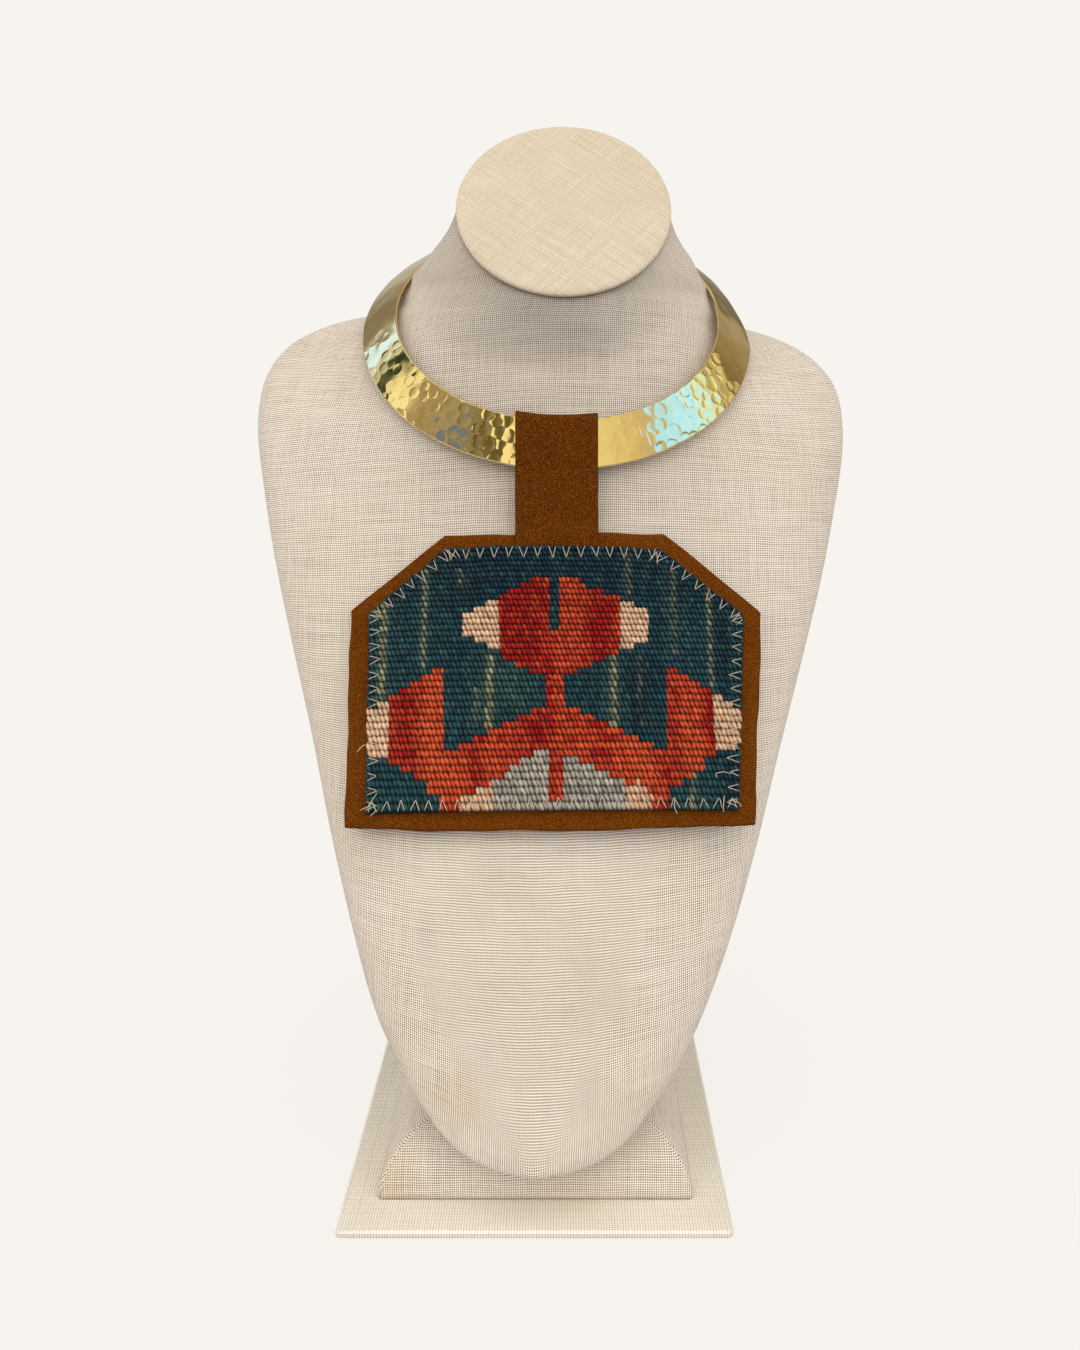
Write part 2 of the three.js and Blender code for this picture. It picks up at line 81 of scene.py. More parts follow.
# A closed piece from rings of points in millimetres, one after another, each joined to the next by a
# band of quads. The two end rings get a flat cap. The cloth's grid has one column more than a ring.
def ringPiece(name, points, material, cloth=None):
    rings, columns = points.shape[:2]
    number = np.arange(rings * columns).reshape(rings, columns)
    beside = np.roll(number, -1, axis=1)
    quads = np.stack([number[:-1], beside[:-1], beside[1:], number[1:]], axis=-1).reshape(-1, 4)
    faces = quads.tolist() + [number[0][::-1].tolist(), number[-1].tolist()]
    piece = meshPiece(name, points.reshape(-1, 3), faces, material)
    if cloth is not None:
        corners = np.stack([cloth[:-1, :-1], cloth[:-1, 1:], cloth[1:, 1:], cloth[1:, :-1]], axis=2)
        flat = np.zeros((len(piece.data.loops), 2), np.float32)
        flat[:corners.size // 2] = corners.reshape(-1, 2)
        piece.data.uv_layers.new(name="cloth").data.foreach_set("uv", flat.ravel())
    return piece


# An object on the one body, its points turned from millimetres to metres of the frame.
def meshPiece(name, points, faces, material):
    mesh = bpy.data.meshes.new(name)
    mesh.from_pydata(toFrame(points).tolist(), [], faces)
    mesh.polygons.foreach_set("use_smooth", [True] * len(mesh.polygons))
    piece = bpy.data.objects.new(name, mesh)
    bpy.context.collection.objects.link(piece)
    mesh.materials.append(material)
    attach(piece, "root")
    return piece


def paint(piece, colour):  # a colour for each point, kept as the attribute "yarn"
    layer = piece.data.color_attributes.new("yarn", "FLOAT_COLOR", "POINT")
    rgba = np.ones((len(colour), 4), np.float32)
    rgba[:, :3] = colour
    layer.data.foreach_set("color", rgba.ravel())


def faceOutwards(piece):  # joins points that coincide, then turns every face outwards
    shell = bmesh.new()
    shell.from_mesh(piece.data)
    bmesh.ops.remove_doubles(shell, verts=shell.verts, dist=1e-7)
    bmesh.ops.recalc_face_normals(shell, faces=shell.faces)
    shell.to_mesh(piece.data)
    shell.free()
    return piece


def linear(red, green, blue):  # a colour as it is seen, 0 to 255, to the shader's own scale
    seen = np.array([red, green, blue]) / 255
    return np.where(seen <= 0.04045, seen / 12.92, ((seen + 0.055) / 1.055) ** 2.4)


def setInput(node, key, value):  # from a number, a colour or another node's socket
    if isinstance(value, bpy.types.NodeSocket):
        node.id_data.links.new(value, node.inputs[key])
    else:
        node.inputs[key].default_value = value


# Short ways to add nodes to a tree. Inputs are given in their order, or by name or number in `named`.
def nodeTools(tree):
    def add(kind, *inputs, named=None, **settings):
        node = tree.nodes.new("ShaderNode" + kind)
        for key, value in settings.items():
            setattr(node, key, value)
        for key, value in list(enumerate(inputs)) + list((named or {}).items()):
            setInput(node, key, value)
        return node

    def calc(operation, *values):
        return add("Math", *values, operation=operation).outputs[0]

    def blend(amount, first, second, how="MIX"):
        return add("Mix", amount, named={6: first, 7: second}, data_type="RGBA", blend_type=how).outputs[2]

    def noise(vector, scale, detail=2.0, roughness=0.5):
        inputs = {"Vector": vector, "Scale": scale, "Detail": detail, "Roughness": roughness}
        return add("TexNoise", named=inputs).outputs[0]

    def step(value, low, high):  # 0 at low, 1 at high, with soft ends
        return add("MapRange", value, low, high, 0.0, 1.0, interpolation_type="SMOOTHSTEP").outputs[0]

    return add, calc, blend, noise, step


def newMaterial(name):  # with the node tools for its tree
    material = bpy.data.materials.new(name)
    material.use_nodes = True
    return material, *nodeTools(material.node_tree)


# Gives the shader its inputs by name, and a bump from a height, of a strength and a depth in metres.
def finishMaterial(material, inputs, height=None, strength=0.0, depth=0.0):
    add = nodeTools(material.node_tree)[0]
    if height is not None:
        bump = add("Bump", named={"Strength": strength, "Distance": depth, "Height": height})
        inputs["Normal"] = bump.outputs[0]
    for key, value in inputs.items():
        setInput(material.node_tree.nodes["Principled BSDF"], key, value)
    return material


def rgba(colour):  # three channels and a full fourth
    return (*[float(c) for c in colour], 1.0)


collarPlane = {"tilt": 41, "y": 146.3, "z": 294.9}  # how the collar's ring leans, and its middle
linenLook = {
    "thread": (246, 233, 217), "lit": (252, 243, 229), "stain": (214, 178, 112), "hole": (44, 31, 22),
    "warpPitch": 0.73, "weftPitch": 0.9, "holeFrom": 0.56, "holeTo": 0.83, "slub": 0.3, "bump": 0.35,
    "wander": 1.6, "stains": [], "shade": 0.0, "tight": False, "sideFrom": 62.5,
}
stains = [  # faint yellowish marks: place in millimetres, radius, strength
    {"at": (-29, 14, 42), "radius": 15, "strength": 0.2},
    {"at": (-52, 15, 10), "radius": 13, "strength": 0.24},
]


# Plain weave. U and V count threads: a thread's body is |sin|, its crossings alternate by the
# sign of the product, and a hole is where neither thread covers. Slow noise along each thread
# makes it thicker and thinner. A tight weave shows its floats instead: |sin| to two powers,
# which change places from one crossing to the next.
def linenMaterial(name, look, source="cloth", turn=0.0):
    material, add, calc, blend, noise, step = newMaterial(name)
    place = add("TexCoord").outputs["Object"]
    if source == "cloth":
        woven = add("UVMap", uv_map="cloth").outputs[0]
        flat = add("Mapping", woven, (0, 0, 0), (0, 0, math.radians(turn)), (1, 1, 1)).outputs[0]
        across, down, _ = add("SeparateXYZ", flat).outputs
    else:
        x, y, z = [calc("MULTIPLY", value, 1000.0) for value in add("SeparateXYZ", place).outputs]
        if source == "board":  # the cloth turns down over the two sides and over the front
            aside = calc("GREATER_THAN", calc("ABSOLUTE", x), look["sideFrom"])
            beside = calc("MULTIPLY", calc("SIGN", x), aside)
            across, down = calc("ADD", x, calc("MULTIPLY", z, beside)), calc("SUBTRACT", y, z)
        else:
            across, down = calc("ADD", x, y), z
    drift = add("CombineXYZ", calc("MULTIPLY", across, 0.05), calc("MULTIPLY", down, 0.05), 0.0).outputs[0]
    threads = []
    for way, pitch, scale in ((across, look["warpPitch"], 1.0), (down, look["weftPitch"], 1.3)):
        wander = calc("MULTIPLY", noise(drift, scale), look["wander"])
        threads.append(calc("ADD", calc("DIVIDE", way, pitch), wander))
    warp, weft = threads
    alongWarp = add("CombineXYZ", calc("MULTIPLY", warp, 0.9), calc("MULTIPLY", weft, 0.035), 3.0).outputs[0]
    alongWeft = add("CombineXYZ", calc("MULTIPLY", warp, 0.03), calc("MULTIPLY", weft, 0.9), 9.0).outputs[0]
    warpSlub = calc("MULTIPLY", calc("SUBTRACT", noise(alongWarp, 1.0), 0.5), look["slub"] * 2)
    weftSlub = calc("MULTIPLY", calc("SUBTRACT", noise(alongWeft, 1.0), 0.5), look["slub"] * 2.6)
    sineWarp = calc("SINE", calc("MULTIPLY", warp, math.pi))
    sineWeft = calc("SINE", calc("MULTIPLY", weft, math.pi))
    crossing = calc("MULTIPLY", sineWarp, sineWeft)
    lengthWarp, lengthWeft = calc("ABSOLUTE", sineWarp), calc("ABSOLUTE", sineWeft)
    if look["tight"]:
        one = calc("MULTIPLY", calc("POWER", lengthWarp, 0.8), calc("POWER", lengthWeft, 0.25))
        other = calc("MULTIPLY", calc("POWER", lengthWarp, 0.25), calc("POWER", lengthWeft, 0.8))
        over = calc("GREATER_THAN", crossing, 0.0)
        other = calc("MULTIPLY", other, calc("SUBTRACT", 1.0, over))
        height = calc("ADD", calc("MULTIPLY", one, over), other)
        height = calc("ADD", height, calc("ADD", warpSlub, weftSlub))
        cover = step(height, look["holeFrom"], look["holeTo"])
    else:
        bodyWarp, bodyWeft = calc("ADD", lengthWarp, warpSlub), calc("ADD", lengthWeft, weftSlub)
        over = calc("MULTIPLY", crossing, 0.3)
        height = calc("MAXIMUM", calc("ADD", bodyWarp, over), calc("SUBTRACT", bodyWeft, over))
        cover = step(calc("MAXIMUM", bodyWarp, bodyWeft), look["holeFrom"], look["holeTo"])
    fine = add("CombineXYZ", calc("MULTIPLY", across, 6.0), calc("MULTIPLY", down, 6.0), 1.0).outputs[0]
    fibre = noise(fine, 1.0, 3.0)
    base = linear(*look["thread"])
    yellowed = rgba(base * np.array([0.95, 0.93, 0.9]))
    thread = blend(step(noise(place, 22.0, 3.0), 0.35, 0.7), rgba(base), yellowed)
    thread = blend(calc("MULTIPLY", fibre, 0.35), thread, rgba(base * 0.62))
    # Painted highlight: the tops of the threads are lightened towards the lit colour.
    thread = blend(calc("MULTIPLY", step(height, 0.75, 1.35), 0.35), thread, rgba(linear(*look["lit"])))
    for stain in look["stains"]:
        away = add("VectorMath", place, tuple(toFrame(stain["at"])), operation="DISTANCE").outputs["Value"]
        near = step(calc("MULTIPLY", away, 1000 / stain["radius"]), 1.0, 0.2)
        thread = blend(calc("MULTIPLY", near, stain["strength"]), thread, rgba(linear(*look["stain"])))
    colour = blend(cover, rgba(linear(*look["hole"])), thread)
    if look["shade"]:  # painted shade: the neck's front, above the collar's own plane, is darkened, most in its middle
        tilt = math.radians(collarPlane["tilt"])
        middle = toFrame([0, collarPlane["y"], collarPlane["z"]])
        x, y, z = add("SeparateXYZ", place).outputs
        rise = calc("MULTIPLY", calc("SUBTRACT", z, float(middle[2])), 1000 * math.cos(tilt))
        back = calc("MULTIPLY", calc("SUBTRACT", y, float(middle[1])), 1000 * math.sin(tilt))
        above = calc("SUBTRACT", rise, back)
        centred = step(calc("ABSOLUTE", x), 0.075, 0.005)
        paintedShade = calc("MULTIPLY", step(above, -5.0, 5.0), calc("ADD", 0.14, calc("MULTIPLY", centred, 0.86)))
        # Painted shadow under the collar: the chest below the collar's front middle is darkened as well, more
        # weakly.
        wide = step(calc("ABSOLUTE", x), 0.11, 0.01)
        paintedShade = calc("MAXIMUM", paintedShade, calc("MULTIPLY", step(above, -60.0, 0.0), calc("MULTIPLY", wide, 0.5)))
        # The painted shade and shadow multiply the colour towards grey.
        colour = blend(calc("MULTIPLY", paintedShade, look["shade"]), colour, rgba((0.35, 0.34, 0.34)), "MULTIPLY")
    inputs = {"Base Color": colour, "Roughness": 0.92, "Specular IOR Level": 0.25, "Sheen Weight": 0.06}
    return finishMaterial(material, inputs, height, look["bump"], 0.00012)


torsoSections = np.array([  # z, half width, middle x, front y, widest y, back y, squareness
    [19.5, 5, 0, 3.6, 7.5, 11, 2.0], [21.5, 17, 0, 3, 9, 15, 2.0], [26, 27.3, 0, 4.2, 12.5, 21, 2.05],
    [34, 36.6, 0, 7.6, 19, 31, 2.1], [46, 46.4, 0, 12.8, 27, 44, 2.15], [62, 56, -0.2, 19.6, 37, 58, 2.2],
    [84, 65.4, 0.1, 29, 50, 73, 2.2], [112, 75, 0, 41.8, 65, 91, 2.2],
    [142, 84.2, -0.3, 56, 82, 112, 2.2], [172, 94.2, -0.8, 69.8, 100, 133, 2.2],
    [200, 103.5, -1.3, 84.6, 118, 153, 2.2], [226, 111, -1.8, 98.6, 136, 173, 2.2],
    [246, 116, -2.2, 111, 151, 190, 2.2], [262, 116.2, -2.3, 126, 160, 198, 2.2],
    [272, 113, -2.2, 137, 165, 198, 2.1], [280, 106, -2.4, 147, 168, 195, 2.05],
    [285, 97.8, -2.3, 153.5, 169.5, 190, 2.0], [289, 87.5, -2.4, 159, 170, 185, 2.0],
    [292, 75, -2.2, 163, 170, 180, 2.0], [295, 60, -1.0, 167, 170, 175, 2.0],
])
neckSections = np.array([
    [226, 44, -1.6, 101, 136, 168, 2.2], [240, 62, -1.5, 104, 147, 182, 2.4],
    [254, 69, -1.3, 107.5, 156, 192, 2.5], [264, 72, -1.2, 113.5, 161, 198, 2.6],
    [275, 71, -1.1, 120.5, 165, 201, 2.7], [286, 67.5, -0.9, 127, 165, 202, 2.7],
    [298, 63.15, -0.65, 133.8, 161, 200, 2.3], [303, 59.85, -0.75, 136.5, 159, 198.8, 2.0],
    [308, 56.4, -0.6, 139.1, 159.5, 194.5, 2.0], [312, 53.7, -0.1, 140.8, 160.5, 189, 2.0],
    [316.5, 50.75, 0.25, 142.8, 161, 186.5, 2.0], [322, 46.7, 0.2, 144.3, 163, 187, 2.0],
    [328, 43.3, 0.2, 146, 163, 188, 2.0], [334, 41, 0.3, 148, 159.5, 188, 2.0],
    [352, 40.9, 0.4, 151, 159.5, 187.6, 2.0], [376, 41, 0.4, 153, 159.5, 187.6, 2.0],
])
bust = {
    "blend": 16, "hollowEnd": 312, "lean": 1.7, "blockTop": 23.5, "flatness": 0.5, "grainSlope": 0.045,
    "around": 288, "neckFrom": 290, "neckRings": 45, "neckHeights": (280.0, 376.0),
    # from, to and number of rings in each stretch of the body
    "bodyRings": [(19.5, 26, 10), (26, 62, 26), (62, 226, 60), (226, 272, 34), (272, 290, 22)],
}
cap = {
    "halfWidth": 41.8, "halfLength": 44.8, "tilt": 51, "x": 0.3, "y": 159.5, "z": 334.5,
    "thickness": 2.4, "gap": 0.3, "crown": 0.35, "flatShare": 0.93, "rimDrop": 1.25,
    "around": 160, "faceRings": 40, "rimRings": 9,
}


# A smooth cubic through the rows of a table, at every height of an array.
def tableAt(table, z):
    zs = table[:, 0]
    last = len(zs) - 1
    before, after = np.maximum(np.arange(last + 1) - 1, 0), np.minimum(np.arange(last + 1) + 1, last)
    slope = (table[after] - table[before]) / (zs[after] - zs[before])[:, None]
    row = np.clip(np.searchsorted(zs, z, side="right") - 1, 0, last - 1)
    stepZ = (zs[row + 1] - zs[row])[..., None]
    t = np.clip((z[..., None] - zs[row][..., None]) / stepZ, 0, 1)
    low, high = table[row], table[row + 1]
    slopeLow, slopeHigh = slope[row] * stepZ, slope[row + 1] * stepZ
    cubic = 2 * low - 2 * high + slopeLow + slopeHigh
    square = -3 * low + 3 * high - 2 * slopeLow - slopeHigh
    return np.moveaxis(((cubic * t + square) * t + slopeLow) * t + low, -1, 0)


# The radius of a superellipse section seen from a centre.
def radiusTowards(section, centreY, cosine, sine):
    _, half, _, front, _, back, square = section
    reach = np.where(sine < 0, centreY - front, back - centreY)
    return (np.abs(cosine / half) ** square + np.abs(sine / reach) ** square) ** (-1 / square)


# A point of the bust at a height and a direction: the larger of torso and neck, with a soft
# hollow added where they join. Over the torso's top the hollow dies out and the neck is left.
def bustPoint(z, direction):
    torso, neck = tableAt(torsoSections, z), tableAt(neckSections, z)
    top = torsoSections[-1, 0]
    towardsNeck = smoothStep(z, top, bust["hollowEnd"])
    centreX = torso[2] + (neck[2] - torso[2]) * towardsNeck
    centreY = torso[4] + (neck[4] - torso[4]) * towardsNeck
    cosine, sine = np.cos(direction), np.sin(direction)
    a = radiusTowards(torso, centreY, cosine, sine)
    b = radiusTowards(neck, centreY, cosine, sine)
    hollow = bust["blend"] * np.maximum(0, 1 - np.abs(a - b) / bust["blend"]) ** 3 / 6
    radius = np.where(z > top, b + hollow * (1 - towardsNeck), np.maximum(a, b) + hollow)
    radius = np.where(z < neckSections[0, 0], a, radius)
    return np.stack([centreX + radius * cosine, centreY + radius * sine, z], axis=-1)


def leaning(points):  # the bust's own upright frame to the leaning one on the block
    lean = math.radians(bust["lean"])
    x, y, z = points[..., 0], points[..., 1], points[..., 2] - bust["blockTop"]
    return np.stack([middleOfBoard + x * math.cos(lean) + z * math.sin(lean), y,
                     bust["blockTop"] - x * math.sin(lean) + z * math.cos(lean)], axis=-1)


# Rings of the torso at set heights, then rings of the neck spread from there up to the cap's
# underside, which each column meets at a height found by halving.
def bustSurface():
    angle = 2 * np.pi * (np.arange(bust["around"]) / bust["around"]) + np.pi / 2
    direction = np.arctan2(bust["flatness"] * np.sin(angle), np.cos(angle))
    tilt = math.radians(cap["tilt"])
    low, high = [np.full_like(direction, height) for height in bust["neckHeights"]]
    for _ in range(40):
        middle = (low + high) / 2
        point = bustPoint(middle, direction)
        above = (point[:, 2] - cap["z"]) * math.cos(tilt) - (point[:, 1] - cap["y"]) * math.sin(tilt)
        outside = above > -cap["thickness"] - cap["gap"]
        low, high = np.where(outside, low, middle), np.where(outside, middle, high)
    levels = [np.linspace(start, stop, number, endpoint=False) for start, stop, number in bust["bodyRings"]]
    levels = np.concatenate(levels + [[bust["neckFrom"]]])
    level = np.repeat(levels[:, None], bust["around"], 1)
    body = bustPoint(level, np.repeat(direction[None], len(levels), 0))
    t = np.linspace(0, 1, bust["neckRings"] + 1)[1:, None]
    level = bust["neckFrom"] + t * (low[None] - bust["neckFrom"])
    neck = bustPoint(level, np.repeat(direction[None], bust["neckRings"], 0))
    return leaning(np.concatenate([body, neck])), levels


# Lengths along the cloth: across from the front's middle, and down each column from the chest.
def clothOn(points, levelRow, frontColumn):
    closed = np.concatenate([points, points[:, :1]], axis=1)
    across, down = [np.linalg.norm(np.diff(closed, axis=axis), axis=-1) for axis in (1, 0)]
    around = np.concatenate([np.zeros((len(points), 1)), np.cumsum(across, axis=1)], axis=1)
    around = around - around[:, frontColumn:frontColumn + 1]
    along = np.concatenate([np.zeros((1, closed.shape[1])), np.cumsum(down, axis=0)])
    along = along - along[levelRow:levelRow + 1]
    return np.stack([around, along - bust["grainSlope"] * around], axis=-1)


# The bust's shade is the strength of the painted shade on its neck and of the painted shadow under the
# collar.
bustLook = dict(linenLook, stains=stains, shade=0.72)
points, levels = bustSurface()
chestHeight = 150
cloth = clothOn(points, int(np.argmin(np.abs(levels - chestHeight))), bust["around"] // 2)
bustCover = ringPiece("bust_cover", points, linenMaterial("linen", bustLook), cloth=cloth)
faceOutwards(bustCover)
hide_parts("bust_form")
print("bust covered:", len(bustCover.data.polygons), "faces")


# A very slightly crowned disc: its rim rolls over in a quarter round, and three more rings under
# it draw in a little. The cloth lies flat on it, stretched outwards by the length over the rim.
def capCover():
    roll = np.linspace(0.1, np.pi / 2, cap["rimRings"])
    face = np.linspace(0.004, cap["flatShare"], cap["faceRings"])
    rim = cap["flatShare"] + (1 - cap["flatShare"]) * np.sin(roll)
    radial = np.concatenate([face, rim, [0.999, 0.985, 0.96]])
    crown = cap["crown"] * (1 - (face / cap["flatShare"]) ** 2)
    lift = np.concatenate([crown, -cap["rimDrop"] * (1 - np.cos(roll)), [-2.0, -2.25, -cap["thickness"]]])
    angle = 2 * np.pi * np.arange(cap["around"]) / cap["around"]
    x = cap["halfWidth"] * radial[:, None] * np.cos(angle)
    y = cap["halfLength"] * radial[:, None] * np.sin(angle)
    z = np.repeat(lift[:, None], cap["around"], 1)
    length = np.cumsum(np.hypot(np.diff(radial) * cap["halfWidth"], np.diff(lift)))
    length = np.concatenate([[0], length]) + radial[0] * cap["halfWidth"]
    spread = (length / (radial * cap["halfWidth"]))[:, None]
    cloth = np.stack([x * spread, y * spread], axis=-1)
    tilt = math.radians(cap["tilt"])
    placed = np.stack([x + cap["x"], y * math.cos(tilt) - z * math.sin(tilt) + cap["y"],
                       y * math.sin(tilt) + z * math.cos(tilt) + cap["z"]], axis=-1)
    return leaning(placed), np.concatenate([cloth, cloth[:, :1]], axis=1)


capLook = dict(linenLook, thread=(247, 236, 214), hole=(178, 158, 128), slub=0.18, holeFrom=0.25, holeTo=0.9,
               warpPitch=0.74, weftPitch=0.8, tight=True)
points, cloth = capCover()
capPiece = ringPiece("neck_cover", points, linenMaterial("cap_linen", capLook, turn=38), cloth=cloth)
faceOutwards(capPiece)
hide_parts("neck_cap")
print("neck's top covered")


block = {
    "width": 105, "depth": 131, "height": 20.2, "setback": 14.7, "round": 20, "corner": 1.6, "low": 3.3,
    "rings": 22, "perSide": 30, "perCorner": 4, "sideCloth": 200,
}


# A pillow: rings of a rectangle with small corners, drawn in along a quarter ellipse. Each
# side has its own cloth, counted along the side and up over it.
def blockCover():
    angle = np.linspace(0, np.pi / 2, block["rings"])
    inset = block["round"] * (1 - np.cos(angle))
    z = block["low"] + block["height"] * np.sin(angle)
    climb = np.concatenate([[0], np.cumsum(np.hypot(np.diff(inset), np.diff(z)))])
    bend = np.linspace(0, np.pi / 2, block["perCorner"] + 2)[1:-1]
    r = block["corner"]
    rings, cloths = [], []
    for drawnIn, height, climbed in zip(inset, z, climb):
        halfX, halfY = block["width"] / 2 - drawnIn, block["depth"] / 2 - drawnIn
        x, y, u = [], [], []
        for side in range(4):  # front, right, back, left
            turn = side * np.pi / 2 - np.pi / 2
            half, off = (halfX, halfY) if side % 2 == 0 else (halfY, halfX)
            straight = np.linspace(-(half - r), half - r, block["perSide"])
            along = np.concatenate([straight, half - r + r * np.sin(bend)])
            out = np.concatenate([np.full(block["perSide"], off), off - r + r * np.cos(bend)])
            x.append(out * np.cos(turn) - along * np.sin(turn))
            y.append(out * np.sin(turn) + along * np.cos(turn))
            u.append(along + block["sideCloth"] * side)
        x, y, u = [np.concatenate(part) for part in (x, y, u)]
        rings.append(np.stack([x, y, np.full(len(x), height)], -1))
        closed = np.append(u, u[0] + 4 * block["sideCloth"])
        cloths.append(np.stack([closed, np.full(len(closed), climbed)], -1))
    place = np.array([middleOfBoard, block["setback"] + block["depth"] / 2, 0])
    return np.stack(rings) + place, np.stack(cloths)


blockLook = dict(linenLook, stains=stains, weftPitch=0.8)
points, cloth = blockCover()
blockPiece = ringPiece("block_cover", points, linenMaterial("block_linen", blockLook), cloth=cloth)
layer = blockPiece.data.uv_layers["cloth"].data
top = blockPiece.data.polygons[-1]
for corner in top.loop_indices:  # the flat top takes its cloth straight from its place
    spot = blockPiece.data.vertices[blockPiece.data.loops[corner].vertex_index].co / mm
    layer[corner].uv = (spot.x, spot.y)
faceOutwards(blockPiece)
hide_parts("plinth_block")

boardLook = dict(linenLook, thread=(255, 251, 240), hole=(190, 170, 138), warpPitch=0.9, weftPitch=0.85,
                 bump=0.5, slub=0.15, wander=0.4, holeFrom=0.1, holeTo=0.75, tight=True)
for node, look in (("base_board", boardLook), ("support_post", linenLook)):
    part = node.split("_")[1]
    materials = bpy.data.objects[node].data.materials
    materials.clear()
    materials.append(linenMaterial(part + "_linen", look, part))
print("stand covered")


collar = dict(
    collarPlane, halfWidth=62, frontDepth=62, backDepth=56, turn=2.4, x=2.9, band=17.3, lean=37,
    thickness=1.15, crown=0.35, rearGap=39, rearDrawnIn=0.025, endArc=0.045, endWidth=0.55,
    rightNarrowed=6.4, narrowedAt=(1.4, 1.85),
    dentPitch=4.75, dentRadius=2.45, dentDepth=0.17, jitter=0.56, lip=0.12, midRadius=69,
    front=82, frontSteps=900, rearSteps=130, faceSteps=60, backSteps=5, edge=0.03)
hammering = np.array([  # degrees round from the front, depth of the dents there, share of the cells struck
    [-162, 0.16, 0.4], [-90, 0.22, 0.5], [-84, 0.25, 0.5], [-79, 0.5, 0.6], [-73, 0.5, 0.7],
    [-69, 0.3, 0.7], [-61, 0.3, 0.8], [-57, 0.55, 0.85], [-50, 0.8, 0.85], [-45, 1.0, 0.9],
    [-13, 1.0, 0.95], [12, 0.45, 0.6], [23, 0.5, 0.6], [27, 0.95, 0.9], [50, 1.0, 0.95], [56, 0.9, 0.9],
    [61, 0.7, 0.85], [66, 0.22, 0.5], [76, 0.18, 0.45], [90, 0.18, 0.4], [162, 0.14, 0.4],
])


# A point of the band: turn is 0 at the front, across is 0 at its inner edge and 1 at its outer
# one, and above is how far it lies off the band's upper face.
def collarPoint(turn, across, above):
    depth = np.where(np.cos(turn) > 0, collar["frontDepth"], collar["backDepth"])
    drawnIn = 1 - collar["rearDrawnIn"] * np.maximum(0, -np.cos(turn)) ** 2
    edge = np.stack([collar["halfWidth"] * drawnIn * np.sin(turn), -depth * np.cos(turn), 0 * turn], -1)
    out = unit(np.stack([depth * np.sin(turn), -collar["halfWidth"] * np.cos(turn), 0 * turn], -1))
    lean = math.radians(collar["lean"])
    up = np.array([0, 0, 1])
    along = out * math.cos(lean) - up * math.sin(lean)
    off = out * math.sin(lean) + up * math.cos(lean)
    crown = collar["crown"] * (1 - (2 * across - 1) ** 2)
    width = collar["band"] - collar["rightNarrowed"] * smoothStep(turn, *collar["narrowedAt"])
    point = edge + along * (width * across)[..., None] + off * (crown + above)[..., None]
    tilt, turned = math.radians(collar["tilt"]), math.radians(collar["turn"])
    x, y, z = point[..., 0], point[..., 1], point[..., 2]
    y, z = y * math.cos(tilt) - z * math.sin(tilt), y * math.sin(tilt) + z * math.cos(tilt)
    x, y = x * math.cos(turned) - y * math.sin(turned), x * math.sin(turned) + y * math.cos(turned)
    return np.stack([x + collar["x"], y + collar["y"], z + collar["z"]], -1)


# Hammer blows: each cell of a jittered net may hold one, a round bowl one part deep at its
# middle with a low lip round it; where bowls overlap the deeper one counts.
def dents(along, across, share):
    cells = random.random((260, 40, 5))
    deepest, lip = np.zeros_like(along), np.zeros_like(along)
    pitch = collar["dentPitch"]
    s, t = along / pitch + 120, across / pitch + 10
    for di in (-1, 0, 1):
        for dj in (-1, 0, 1):
            i, j = np.floor(s).astype(int) + di, np.floor(t).astype(int) + dj
            blow = cells[i % cells.shape[0], j % cells.shape[1]]
            centreS = i + 0.5 + collar["jitter"] * (blow[..., 0] - 0.5) + 0.5 * (j % 2)
            centreT = j + 0.5 + collar["jitter"] * (blow[..., 1] - 0.5)
            radius = collar["dentRadius"] / pitch * (0.78 + 0.44 * blow[..., 2])
            away = np.sqrt(((s - centreS) ** 2 + (t - centreT) ** 2)) / radius
            struck = (blow[..., 4] < share) * (0.6 + 0.4 * blow[..., 3])
            deepest = np.minimum(deepest, struck * np.minimum(away ** 3 - 1, 0))
            lip = np.maximum(lip, struck * np.exp(-((away - 1.05) / 0.11) ** 2))
    return deepest + collar["lip"] * lip


